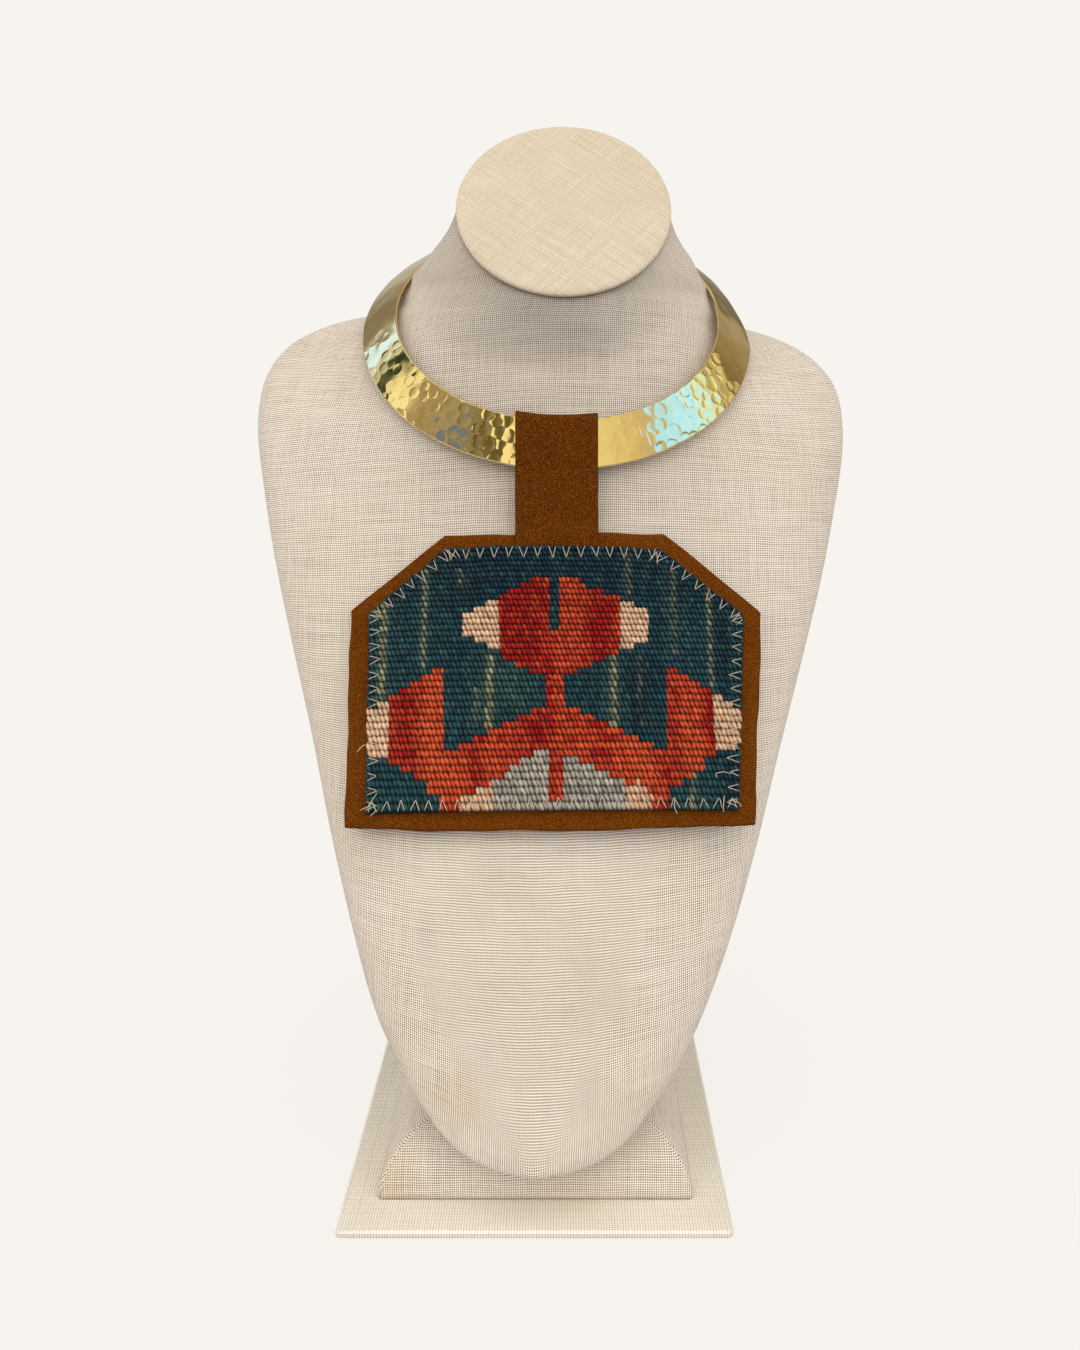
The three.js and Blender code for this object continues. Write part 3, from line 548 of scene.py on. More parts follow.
# The section's loop goes over the upper face, round the outer edge, back under the band and round
# the inner edge. It is carried along the ring's path, narrower towards the two rounded ends, with
# the upper face pressed down by the dents and by slow waves.
def collarBand():
    end = math.pi - math.asin(collar["rearGap"] / 2 / collar["halfWidth"])
    front = math.radians(collar["front"])
    rear = np.linspace(front, end, collar["rearSteps"])
    fine = np.linspace(-front, front, collar["frontSteps"])[1:-1]
    turn = np.concatenate([-rear[::-1], fine, rear])[:, None]
    v = (turn / end + 1) / 2
    edge, half = collar["edge"], collar["thickness"] / 2
    faceSteps, backSteps = collar["faceSteps"], collar["backSteps"]
    bend = np.linspace(0, np.pi, 7)[1:-1]
    across = np.concatenate([np.linspace(edge, 1 - edge, faceSteps), 1 - edge + edge * np.sin(bend),
                             [1 - edge, 0.75, 0.5, 0.25, edge], edge - edge * np.sin(bend)])
    level = np.concatenate([np.zeros(faceSteps), -half + half * np.cos(bend), np.full(backSteps, -2 * half),
                            -half - half * np.cos(bend)])
    fromEnd = np.minimum(np.minimum(v, 1 - v) / collar["endArc"], 1)
    width = collar["endWidth"] + (1 - collar["endWidth"]) * np.sqrt(1 - (1 - fromEnd) ** 2)
    across = 0.5 + (across[None] - 0.5) * width
    turn = turn + 0 * across
    depth, share = [np.interp(np.degrees(turn), hammering[:, 0], hammering[:, k]) for k in (1, 2)]
    along, over = turn * collar["midRadius"], across * collar["band"]
    swell = 0.05 * np.sin(along / 7 + 1.3) * np.sin(over / 5) + 0.03 * np.sin(along / 3.3 + over / 2)
    ripple = 0.05 * np.sin(along / 2.1 + 1.5 * np.sin(over / 3.0))
    swell = swell + ripple * smoothStep(np.abs(np.degrees(turn)), 60, 80)
    fade = np.linspace(0.8, 0, len(bend))
    face = np.concatenate([np.ones(faceSteps), fade, np.zeros(backSteps), fade[::-1]])
    rim = smoothStep(across, 0.0, 0.05) * smoothStep(1 - across, 0.0, 0.05)
    pressed = collar["dentDepth"] * depth * dents(along, over, share) + swell
    return collarPoint(turn, across, level[None] + face[None] * (0.45 + 0.55 * rim) * pressed)


# Brass: two warm tones in soft patches, small dull specks, and fine wear along the band.
def brassMaterial():
    material, add, calc, blend, noise, step = newMaterial("hammered_brass")
    place = add("TexCoord").outputs["Object"]
    patches = noise(place, 110.0, 4.0, 0.6)
    colour = blend(step(patches, 0.4, 0.7), rgba((0.93, 0.72, 0.33)), rgba((0.88, 0.66, 0.27)))
    specks = calc("MULTIPLY", step(noise(place, 700.0, 3.0, 0.7), 0.55, 0.75), 0.25)
    colour = blend(specks, colour, rgba((0.6, 0.45, 0.2)))
    rough = calc("ADD", 0.07, calc("MULTIPLY", step(patches, 0.35, 0.75), 0.08))
    wear = add("Mapping", place, (0, 0, 0), (0, 0, 0), (300, 1500, 900)).outputs[0]
    inputs = {"Base Color": colour, "Metallic": 1.0, "Roughness": rough}
    return finishMaterial(material, inputs, noise(wear, 1.0, 2.0), 0.1, 0.00006)


collarPiece = ringPiece("hammered_collar", collarBand(), brassMaterial())
faceOutwards(collarPiece)
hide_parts("collar")
print("collar hammered:", len(collarPiece.data.polygons), "faces")


# Short nap: fine light and dark specks, larger brushed patches, and a soft sheen.
def suedeMaterial(name, base, light, dark):
    material, add, calc, blend, noise, step = newMaterial(name)
    place = add("TexCoord").outputs["Object"]
    speck, grain = noise(place, 3400.0, 3.0, 0.7), noise(place, 1700.0, 2.0, 0.6)
    brushed = noise(place, 60.0, 3.0)
    colour = blend(step(brushed, 0.3, 0.7), rgba(linear(*base)), rgba(linear(*base) * 0.82))
    colour = blend(calc("MULTIPLY", step(grain, 0.48, 0.6), 0.75), colour, rgba(linear(*dark)))
    colour = blend(calc("MULTIPLY", step(speck, 0.52, 0.62), 0.9), colour, rgba(linear(*light)))
    inputs = {"Base Color": colour, "Roughness": 0.95, "Specular IOR Level": 0.06, "Sheen Weight": 0.01,
              "Sheen Roughness": 0.5, "Sheen Tint": rgba(linear(230, 170, 110))}
    return finishMaterial(material, inputs, speck, 0.5, 0.00025)


panel = {"x": 1.9, "y": 89.1, "z": 215.2, "lean": 27.8, "crown": 5.0, "crownAt": 69, "cornerRow": 0.25}
backing = {
    "left": [(-38.5, -0.2), (-71.6, 26.1), (-70, 102.2)],
    "right": [(38.5, -1.1), (72.6, 26.8), (67.1, 100.8)],
    "bow": 2, "thickness": 1.5, "waver": 0.22, "rolled": 0.4, "columns": 150, "rows": 120,
}
kilim = {
    "left": [(-38.2, 5.4), (-64.6, 27.9), (-62.8, 97.7)],
    "right": [(36.5, 5.2), (65.8, 28.6), (61.6, 96.4)],
    "bow": 0, "thickness": 2.2, "columns": 180, "rows": 130, "top": 5.3, "reach": 68, "beadPitch": 1.5,
    "slant": 18, "cut": 0.1, "gapShade": 0.34, "darkGapShade": 0.9, "beadWide": 0.56, "beadTall": 0.545,
    "beadProud": 0.66, "beadSunk": 0.45, "ringPoints": 8,
    # each ring of a bead: its share of the half size, and of the height
    "beadRings": [(0.0, 1.0), (0.55, 0.80), (0.88, 0.42), (1.05, -0.05)],
}
strap = {
    "width": 29.2, "thickness": 1.4, "middle": 2.6, "tuckedIn": 5, "rearEnd": -1.8, "rearLift": 3.4,
    "rideSide": (6, 18), "rideEnd": (7, 24), "columns": 40, "stations": 150, "middleColumn": 20,
}
gap = 0.3  # between two layers of cloth or leather, and between the strap and the brass


# A point of the panels' bent sheet: x from its middle, down from its top, lift off the backing.
def panelPoint(x, down, lift):
    lean = math.radians(panel["lean"])
    off = lift - panel["crown"] * (x / panel["crownAt"]) ** 2
    return np.stack([panel["x"] + x, panel["y"] - down * math.sin(lean) - off * math.cos(lean),
                     panel["z"] - down * math.cos(lean) + off * math.sin(lean)], -1)


# Where a side runs at v: from its top corner over the side corner to the bottom one.
def sideAt(corners, v):
    (x0, d0), (x1, d1), (x2, d2) = corners
    at = [0, panel["cornerRow"], 1]
    return np.interp(v, at, [x0, x1, x2]), np.interp(v, at, [d0, d1, d2])


# A place on a panel's flat outline: straight across between its two sides at v, with the rows
# bowed down in their middle as v squared.
def inPanel(piece, u, v):
    (xl, dl), (xr, dr) = sideAt(piece["left"], v), sideAt(piece["right"], v)
    bow = piece["bow"] * v ** 2 * (1 - (2 * u - 1) ** 2)
    return xl + (xr - xl) * u, dl + (dr - dl) * u + bow


strapEnd = kilim["left"][0][1] + strap["tuckedIn"]


def overStrap(x, down):  # how far the kilim is lifted where the strap's end lies under it
    aside = np.abs(x + panel["x"] - strap["middle"]) - strap["width"] / 2
    side = 1 - smoothStep(aside, *strap["rideSide"])
    length = 1 - smoothStep(down - strapEnd, *strap["rideEnd"])
    return gap + (strap["thickness"] + gap) * side * length


# The panel's front and back: its outline wavers, and both faces roll in towards the cut edges.
def backingSurface():
    u, v = np.meshgrid(np.linspace(0, 1, backing["columns"]), np.linspace(0, 1, backing["rows"]))
    x, down = inPanel(backing, u, v)
    waverX = backing["waver"] * (np.sin(down / 7.3 + 1) + 0.6 * np.sin(down / 2.9)) * (2 * u - 1) ** 9
    waverDown = backing["waver"] * (np.sin(x / 8.1) + 0.5 * np.sin(x / 3.3 + 2)) * (2 * v - 1) ** 9
    x, down = x + waverX, down + waverDown
    away = np.minimum(np.minimum(u, 1 - u) * 140, np.minimum(v, 1 - v) * 100)  # roughly millimetres
    rolled = backing["rolled"] * (1 - smoothStep(away, 0, 0.8))
    return panelPoint(x, down, -rolled), panelPoint(x, down, -backing["thickness"] + rolled)


# A closed wall: quads over the front grid, over the back one turned round, and a rim between their borders.
def wallPiece(name, front, back, material, colour=None):
    rows, columns = front.shape[:2]
    number = np.arange(rows * columns).reshape(rows, columns)
    behind = number + rows * columns
    quads = [np.stack([grid[:-1, :-1], grid[:-1, 1:], grid[1:, 1:], grid[1:, :-1]], -1).reshape(-1, 4)
             for grid in (number, behind)]
    border = np.concatenate([number[0, :-1], number[:-1, -1], number[-1, :0:-1], number[:0:-1, 0]])
    after = np.roll(border, -1)
    rim = np.stack([border, after, after + rows * columns, border + rows * columns], -1)
    faces = np.concatenate([quads[0], quads[1][:, ::-1], rim]).tolist()
    points = np.concatenate([front.reshape(-1, 3), back.reshape(-1, 3)])
    piece = meshPiece(name, points, faces, material)
    if colour is not None:
        paint(piece, np.concatenate([colour.reshape(-1, 3)] * 2))
    return faceOutwards(piece)


front, back = backingSurface()
backingSuede = suedeMaterial("backing_suede", (98, 45, 2), (158, 98, 26), (66, 30, 2))
backingPiece = wallPiece("backing_suede", front, back, backingSuede)
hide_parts("suede_backing")
print("backing cut")


# The strap's middle layer beside the band, at each x: side 1 is behind the band, -1 before it.
def strapOnBand(x, across, side):
    below = collar["thickness"] / 2 + side * (collar["thickness"] / 2 + gap + strap["thickness"] / 2)
    turn = np.zeros_like(x)
    for _ in range(8):
        turn = turn - (collarPoint(turn, across + 0 * x, -below + 0 * x)[..., 0] - x) / collar["halfWidth"]
    return collarPoint(turn, across + 0 * x, -below + 0 * x)


# The strap's middle line at each x: from the seam up behind the band, in a half circle over its top,
# down before it and on along the panel, then spread evenly and smoothed. Its two faces stand half
# the thickness off that line, less at the long edges.
def strapSurface():
    columns = strap["columns"]
    x = strap["middle"] + strap["width"] * (np.linspace(0, 1, columns) - 0.5)
    behindTop, beforeTop, behindFoot = strapOnBand(x, 0, 1), strapOnBand(x, 0, -1), strapOnBand(x, 1, 1)
    bandTop = (behindTop + beforeTop) / 2
    rear = behindTop - bandTop
    up = np.stack([0 * x, -rear[:, 2], rear[:, 1]], -1)
    onPanel = lambda down: panelPoint(x - panel["x"], down + 0 * x, gap + strap["thickness"] / 2)
    seam = onPanel(strap["rearEnd"]) + np.array([0, strap["rearLift"], 0])
    line = [seam, (seam + behindFoot) / 2, behindFoot, strapOnBand(x, 0.5, 1), behindTop]
    for a in np.radians(np.arange(18, 163, 18)):
        line.append(bandTop + rear * math.cos(a) + up * math.sin(a))
    line += [strapOnBand(x, across, -1) for across in (0, 0.25, 0.5, 0.75, 1)]
    line += [onPanel(down) for down in (-4, 0, 4, strapEnd)]
    line = np.stack(line)
    steps = np.linalg.norm(np.diff(line[:, strap["middleColumn"]], axis=0), axis=-1)
    length = np.concatenate([[0], np.cumsum(steps)])
    station = np.linspace(0, length[-1], strap["stations"])
    line = np.stack([[np.interp(station, length, line[:, i, k]) for k in range(3)] for i in range(columns)])
    line = line.transpose(2, 0, 1)
    for _ in range(3):
        line[1:-1] = (line[:-2] + 2 * line[1:-1] + line[2:]) / 4
    along = unit(np.gradient(line, axis=0) * np.array([0, 1, 1]))
    off = np.stack([0 * along[..., 0], along[..., 2], -along[..., 1]], -1) * strap["thickness"] / 2
    column = np.arange(columns)
    aside = np.minimum(column, columns - 1 - column) * strap["width"] / (columns - 1)
    thin = (1 - 0.45 * (1 - smoothStep(aside, 0, 1.1)))[None, :, None]
    return line + off * thin, line - off * thin, length[-1]


front, back, strapLength = strapSurface()
strapSuede = suedeMaterial("strap_suede", (84, 38, 2), (160, 96, 22), (36, 14, 1))
strapPiece = wallPiece("suede_strap", front, back, strapSuede)
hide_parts("hanger_strap")
print("strap folded over the collar, length", round(strapLength, 1))


# The figure's edges go in stairs: x is from the panel's middle, down from its top. Each stair goes
# from its first point to its last in equal steps, each a riser down (or up) and then a tread across.
def stair(x0, down0, x1, down1, steps):
    corners = []
    for k in range(1, steps + 1):
        down = down0 + (down1 - down0) * k / steps
        corners += [(x0 + (x1 - x0) * (k - 1) / steps, down), (x0 + (x1 - x0) * k / steps, down)]
    return corners


redFigure = (
    [(-6.5, 16.7), (-1.7, 16.7), (-1.7, 34.8), (1.7, 34.8), (1.7, 16.7), (6.7, 16.7), (10.5, 18.8)]
    + stair(10.5, 18.6, 22.6, 23.8, 2) + [(22.6, 39), (21.8, 43)]
    + stair(21.8, 42.8, 3.2, 51.4, 4) + [(3.1, 56.5)] + stair(3.8, 61, 37.8, 76.8, 7)
    + stair(38.2, 45.9, 53.2, 55, 4) + [(53.8, 58.4), (54.3, 75.6)] + stair(54.2, 77.1, 38.4, 88.6, 4)
    + [(38.2, 91), (37.9, 99), (31.9, 99), (32.7, 92.2)] + stair(28.4, 90, 3.1, 78.2, 5)
    + [(3.1, 93.3), (-1.8, 93.3)] + stair(-1.8, 75.2, -30.8, 90.8, 6) + [(-30.8, 99), (-38.1, 99)]
    + stair(-37.6, 94.2, -55.6, 81.8, 4) + stair(-56.3, 60.2, -38, 47.4, 5)
    + stair(-36.8, 79.3, -2.8, 63.5, 7)
    + [(-2.8, 52), (-11.3, 48.5), (-18.3, 44.6), (-19.6, 24.6), (-14.5, 20.7), (-9.5, 19)])
creamFigures = [
    stair(-31.6, 31.3, -19.6, 24.7, 3) + [(-18.5, 43.2)] + stair(-18.6, 44.8, -31.5, 37.8, 3),
    stair(22.6, 23.6, 31.9, 27.9, 2) + [(32.4, 30.5)] + stair(31.8, 36.9, 22.3, 42, 2),
    [(-68, 62.9)] + stair(-64, 65.2, -56.2, 60.4, 2) + [(-55.4, 80.2), (-60.8, 80), (-60.8, 78), (-68, 77.8)],
    stair(53.9, 54.8, 63.5, 61, 3) + [(68, 61), (68, 73.2), (61.4, 73.2)] + stair(61.4, 73.2, 54.2, 77.4, 2),
    [(-31, 90.6), (-26, 88), (-20, 87.3), (-20, 99), (-31, 99)],
    [(24, 86), (28.5, 86.3), (33.4, 90.9), (32, 99), (24, 99)]]
greyFigure = [(-20, 84.7), (-4.7, 77), (7.6, 77), (19.5, 82), (24, 85.3), (24, 99), (-20, 99)]
# Where each weft ridge begins, down from the panel's top: the rows grow coarser towards its foot.
ridge = {"count": 44, "first": 3.4, "pitch": 1.85, "growth": 0.0089}
ridges = [ridge["first"] + ridge["pitch"] * k + ridge["growth"] * k * k for k in range(ridge["count"])]
pickStripes = np.array([  # dotted yellow-green stripes: x, from, to, width, strength
    [-59, 24, 59, 2.4, 0.6], [-45, 12, 48, 2.0, 0.4], [-22, 43, 70, 2.6, 0.65], [20, 44, 69, 2.6, 0.55],
    [53.5, 17, 56, 1.6, 0.4], [46, 85, 97, 2.2, 0.45], [41, 13, 44, 2.6, 0.16], [25.5, 8, 23, 2.2, 0.25],
    [-32.5, 13, 21, 1.8, 0.2], [-26.5, 56, 68, 2.4, 0.2], [29, 44, 68, 2.2, 0.1],
])
redAbrash = np.array([  # x, and how far the red turns from crimson to orange there
    [-66, 0.2], [-56, 0.45], [-52, 0.12], [-47, 0.25], [-42, 0.85], [-37, 0.8], [-31, 0.7], [-27, 0.2],
    [-22, 0.45], [-17, 0.08], [-10, 0.06], [-3, 0.18], [1, 0.45], [6, 0.5], [10, 0.3], [14, 0.0],
    [19, 0.08], [22, 0.4], [26, 0.85], [32, 0.8], [36, 0.45], [39, 0.25], [44, 0.7], [49, 0.65],
    [53, 0.1], [60, 0.1],
])
yarn = {
    "crimson": (140, 10, 9), "orange": (204, 82, 43), "navy": (13, 38, 55), "teal": (31, 69, 78),
    "sage": (62, 92, 80), "straw": (180, 172, 124), "cream": (228, 187, 152), "rose": (208, 166, 135),
    "grey": (134, 131, 122), "mist": (184, 174, 160),
}


# True for the points inside an outline: they cross its edges an odd number of times.
def inside(outline, x, y):
    odd = np.zeros(x.shape, bool)
    for (x0, y0), (x1, y1) in zip(outline, outline[1:] + outline[:1]):
        if y0 != y1:
            odd ^= ((y0 > y) != (y1 > y)) & (x < (x1 - x0) * (y - y0) / (y1 - y0) + x0)
    return odd


# The wool's colour at a place on the cloth. chance holds three random numbers for each place, and
# edge is the x that the figure is cut by, so that a bead can lie on both sides of a straight edge.
def woolAt(x, down, chance, edge):
    tone = lambda name: linear(*yarn[name])
    mixed = lambda a, b, t: tone(a) + (tone(b) - tone(a)) * np.clip(t, 0, 1)[..., None]
    # The blue ground: navy at the top's middle, teal lower down and in bands.
    band = 0.5 + 0.5 * np.sin(down * 1.9 + 0.8 * np.sin(x / 17)) * np.sin(down * 0.63)
    top = smoothStep(down, 12, 40) + 0.4 * smoothStep(np.abs(x), 25, 50)
    under = np.exp(-((x + 14) / 9) ** 2) * smoothStep(down, 44, 52) * (1 - smoothStep(down, 60, 66))
    dim = 0.45 * np.exp(-((x - 30) / 5) ** 2) * (down > 44) + 0.45 * np.exp(-((x - 58) / 4) ** 2)
    colour = mixed("navy", "teal", 0.1 + 0.4 * top + 0.2 * band - dim + 0.6 * (chance[0] - 0.5))
    column = np.sin(x * 0.83 + 1.3 * np.sin(down / 19)) > 0.86
    sage = 0.35 * under + 0.3 * (chance[1] > 0.9) + 0.16 * column
    colour = colour + (tone("sage") - colour) * np.clip(sage, 0, 1)[..., None]
    for at, start, stop, width, strength in pickStripes:
        near = np.clip(1.35 - np.abs(x - at) / (width / 2), 0, 1) * (down > start) * (down < stop)
        near = near * np.clip(0.15 + 1.3 * chance[2], 0, 1) * strength
        halo = np.exp(-((x - at) / (1.7 * width)) ** 2) * 0.4 * strength
        halo = halo * (down > start - 2) * (down < stop + 2)
        colour = colour + (tone("sage") - colour) * halo[..., None]
        colour = colour + (tone("straw") - colour) * near[..., None]
    turned = np.interp(x, redAbrash[:, 0], redAbrash[:, 1]) + 0.5 * (chance[0] - 0.5)
    shoulder = 0.3 * smoothStep(down, 48, 62) * (np.abs(np.abs(x) - 15) < 7)
    turned = turned + 0.12 * np.sin(down * 1.1) + shoulder
    red = mixed("crimson", "orange", turned)
    isRed = inside(redFigure, edge, down)
    colour = np.where(isRed[..., None], red, colour)
    grey = mixed("grey", "mist", 0.25 + 0.9 * (chance[1] - 0.35) + 0.3 * smoothStep(down, 91, 95))
    colour = np.where((inside(greyFigure, edge, down) & ~isRed)[..., None], grey, colour)
    for outline in creamFigures:
        pale = mixed("cream", "rose", chance[1] - 0.2 + 0.3 * (x > 20) + 0.7 * (down > 84))
        colour = np.where((inside(outline, edge, down) & ~isRed)[..., None], pale, colour)
    return colour


# Beads of weft: each is a slanted oval cap, from its middle out to a ring below the surface, and every other
# row is set half a bead aside. Each bead's colour carries painted shade towards its gaps and a painted
# highlight on its top.
def kilimBeads():
    pitch, ringPoints = kilim["beadPitch"], kilim["ringPoints"]
    centres = []
    for row, (start, stop) in enumerate(zip(ridges[:-1], ridges[1:])):
        x = np.arange(-kilim["reach"], kilim["reach"], pitch) + (0.5 * pitch if row % 2 else 0)
        centres.append(np.stack([x, (start + stop) / 2 + 0 * x, stop - start + 0 * x], -1))
    beads = np.concatenate(centres)
    beads[:, 0] += random.normal(0, 0.07, len(beads))
    beads[:, 1] += random.normal(0, 0.06, len(beads)) + 0.25 * np.sin(beads[:, 0] / 21 + beads[:, 1] / 30)
    x, down = beads[:, 0], beads[:, 1]
    cut = kilim["cut"]
    keep = (x > sideAtDown(kilim["left"], down) + cut) & (x < sideAtDown(kilim["right"], down) - cut)
    beads = beads[keep & (down > kilim["top"]) & (down < bottomAt(x))]
    count = len(beads)
    chance = random.random((3, count))
    bright = (0.78 + 0.44 * random.random(count))[:, None, None]
    around = 2 * np.pi * np.arange(ringPoints) / ringPoints
    slant = np.radians(kilim["slant"] + random.normal(0, 6, count))[:, None]
    wide = (kilim["beadWide"] * pitch * (0.94 + 0.12 * random.random(count)))[:, None]
    tall = (kilim["beadTall"] * beads[:, 2] * (0.97 + 0.1 * random.random(count)))[:, None]
    proud = (kilim["beadProud"] + 0.12 * random.random(count))[:, None]
    parts = []
    for reach, height in kilim["beadRings"]:
        a = around[None] if reach else np.zeros((1, 1))
        px, py = wide * reach * np.cos(a), tall * reach * np.sin(a)
        # Painted shade for each ring: darker the lower it lies, and above 1 at the top as a painted
        # highlight.
        shade = 0 * px + kilim["gapShade"] + (1.1 - kilim["gapShade"]) * max(height, 0) ** 1.2
        across, along = np.cos(a) * reach * np.ones((count, 1)), np.sin(a) * reach * np.ones((count, 1))
        parts.append((beads[:, :1] + px + np.tan(slant) * py, beads[:, 1:2] + py, proud * height + 0 * px,
                      shade, across, along))
    x, down, height, shade, across, along = [np.concatenate(part, 1) for part in zip(*parts)]
    # The cloth's cut edges are straight: nothing of a bead passes them.
    down = np.clip(down, kilim["top"] - cut, bottomAt(x) + cut)
    x = np.clip(x, sideAtDown(kilim["left"], down) - cut, sideAtDown(kilim["right"], down) + cut)
    middleX, middleDown = beads[:, :1] + 0 * x, beads[:, 1:2] + 0 * x
    colour = woolAt(middleX, middleDown, [part[:, None] + 0 * x for part in chance], x) * bright
    # Painted shade and highlight: each bead's colour is darkened from its top down into the gaps and lifted a
    # little above its own on the top, and the painted shade between dark beads is deeper than between pale
    # ones.
    gapShadePower = 1 + kilim["darkGapShade"] * (1 - smoothStep(colour.mean(-1), 0.16, 0.34))
    colour = colour * (1.06 * shade ** gapShadePower + 0.16 * (gapShadePower - 1))[..., None]
    points = panelPoint(x, down, kilim["thickness"] - kilim["beadSunk"] + overStrap(x, down) + height)
    beadPoints = points.shape[1]
    here = np.arange(ringPoints)
    beside = (here + 1) % ringPoints
    fan = np.stack([0 * here, 1 + here, 1 + beside], -1)
    bands = np.concatenate([np.stack([first + here, first + ringPoints + here, first + ringPoints + beside,
                                      first + beside], -1) for first in (1, 1 + ringPoints)])
    base = (beadPoints * np.arange(count))[:, None, None]
    faces = (fan[None] + base).reshape(-1, 3).tolist() + (bands[None] + base).reshape(-1, 4).tolist()
    # Each bead has its own stretch of the yarn's ply.
    local = np.stack([across + 3 * np.arange(count)[:, None], along], -1)
    return points.reshape(-1, 3), faces, colour.reshape(-1, 3), local.reshape(-1, 2), count


def sideAtDown(corners, down):  # where a side of the panel runs, by how far down it is
    return np.interp(down, [corner[1] for corner in corners], [corner[0] for corner in corners])


def bottomAt(x):  # how far down the panel's foot is, by x
    ends = [kilim["left"][2], kilim["right"][2]]
    return np.interp(x, [end[0] for end in ends], [end[1] for end in ends])


# Wool: the colour painted on its points, which carries painted shade and highlight, under a dark fuzz and, on
# the beads, painted highlights along the slanting lines of its ply.
def woolMaterial(name, shade, plied):
    material, add, calc, blend, noise, step = newMaterial(name)
    colour = add("Attribute", attribute_name="yarn").outputs["Color"]
    fuzz = noise(add("TexCoord").outputs["Object"], 2400.0, 2.0, 0.6)
    colour = blend(calc("MULTIPLY", step(fuzz, 0.35, 0.7), shade), colour, rgba((0.02, 0.02, 0.02)))
    if plied:
        x, y, _ = add("SeparateXYZ", add("UVMap", uv_map="cloth").outputs[0]).outputs
        ply = calc("SINE", calc("ADD", calc("MULTIPLY", x, 7.0), calc("MULTIPLY", y, 9.0)))
        # Painted highlight: light streaks along the ply.
        lit = calc("MULTIPLY", step(ply, -0.2, 1.0), 0.5)
        colour = blend(lit, colour, rgba((1, 0.93, 0.84)), "SOFT_LIGHT")
        fuzz = calc("ADD", calc("MULTIPLY", fuzz, 0.6), calc("MULTIPLY", ply, 0.25))
    inputs = {"Base Color": colour, "Roughness": 0.85, "Specular IOR Level": 0.15, "Sheen Weight": 0.0}
    return finishMaterial(material, inputs, fuzz, 0.45, 0.0002)


# Painted shade: the flat wool under the beads, much darker than they are, stands for the shade in the gaps
# between them, with its edges drawn down.
def kilimShadeSheet():
    u, v = np.meshgrid(np.linspace(0, 1, kilim["columns"]), np.linspace(0, 1, kilim["rows"]))
    x, down = inPanel(kilim, u, v)
    # The wool's colour at a fifth of its strength: painted shade.
    colour = woolAt(x, down, np.full((3,) + x.shape, 0.5), x) * 0.2
    away = np.minimum(np.minimum(u, 1 - u) * 128, np.minimum(v, 1 - v) * 90)  # roughly millimetres
    ride = overStrap(x, down)
    lift = kilim["thickness"] - 0.5 - 0.8 * (1 - smoothStep(away, 0, 0.9)) + ride
    return panelPoint(x, down, lift), panelPoint(x, down, 0.15 + ride), colour


points, faces, colour, local, beadCount = kilimBeads()
weave = meshPiece("kilim_weave", points, faces, woolMaterial("kilim_wool", 0.25, True))
# The yarn attribute holds the wool's colour together with each bead's painted shade and highlight.
paint(weave, colour)
picked = np.empty(len(weave.data.loops), np.int32)
weave.data.loops.foreach_get("vertex_index", picked)
weave.data.uv_layers.new(name="cloth").data.foreach_set("uv", local[picked].astype(np.float32).ravel())
front, back, colour = kilimShadeSheet()
ground = wallPiece("kilim_ground", front, back, woolMaterial("kilim_shade", 0.5, False), colour)
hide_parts("kilim_panel")
print("kilim woven:", beadCount, "beads")


stitch = {
    "pitch": 4.75, "depth": 4.1, "half": 1.4, "inset": 0.35, "radius": 0.125, "sides": 6, "thinEnd": 0.35,
    "doubled": 3,
}


# Threads as tubes: each row of points is one thread, and every thread has as many points. A ring
# of a few points stands across the thread at each of them, thinner at the two ends.
def threadPiece(name, paths, material):
    count, stations = paths.shape[:2]
    n = stitch["sides"]
    along = unit(np.gradient(paths, axis=1))
    side = unit(np.cross(along, np.array([0.2, -0.9, 0.4])))
    other = np.cross(along, side)
    angle = (2 * np.pi * np.arange(n) / n)[None, None, :, None]
    ring = side[:, :, None] * np.cos(angle) + other[:, :, None] * np.sin(angle)
    thin = np.ones(stations)
    thin[[0, -1]] = stitch["thinEnd"]
    points = paths[:, :, None] + stitch["radius"] * thin[None, :, None, None] * ring
    one = np.array([[n * k + i, n * k + (i + 1) % n, n * (k + 1) + (i + 1) % n, n * (k + 1) + i]
                    for k in range(stations - 1) for i in range(n)])
    ends = np.array([list(range(n))[::-1], [n * (stations - 1) + i for i in range(n)]])
    base = (n * stations * np.arange(count))[:, None, None]
    faces = (one[None] + base).reshape(-1, 4).tolist() + (ends[None] + base).reshape(-1, n).tolist()
    return faceOutwards(meshPiece(name, points.reshape(-1, 3), faces, material))


def cottonMaterial():  # undyed thread in two tones of cream
    material, add, _, blend, noise, step = newMaterial("cotton_thread")
    fuzz = noise(add("TexCoord").outputs["Object"], 3000.0, 2.0)
    colour = blend(step(fuzz, 0.3, 0.7), rgba(linear(222, 212, 190)), rgba(linear(172, 160, 134)))
    return finishMaterial(material, {"Base Color": colour, "Roughness": 0.8})


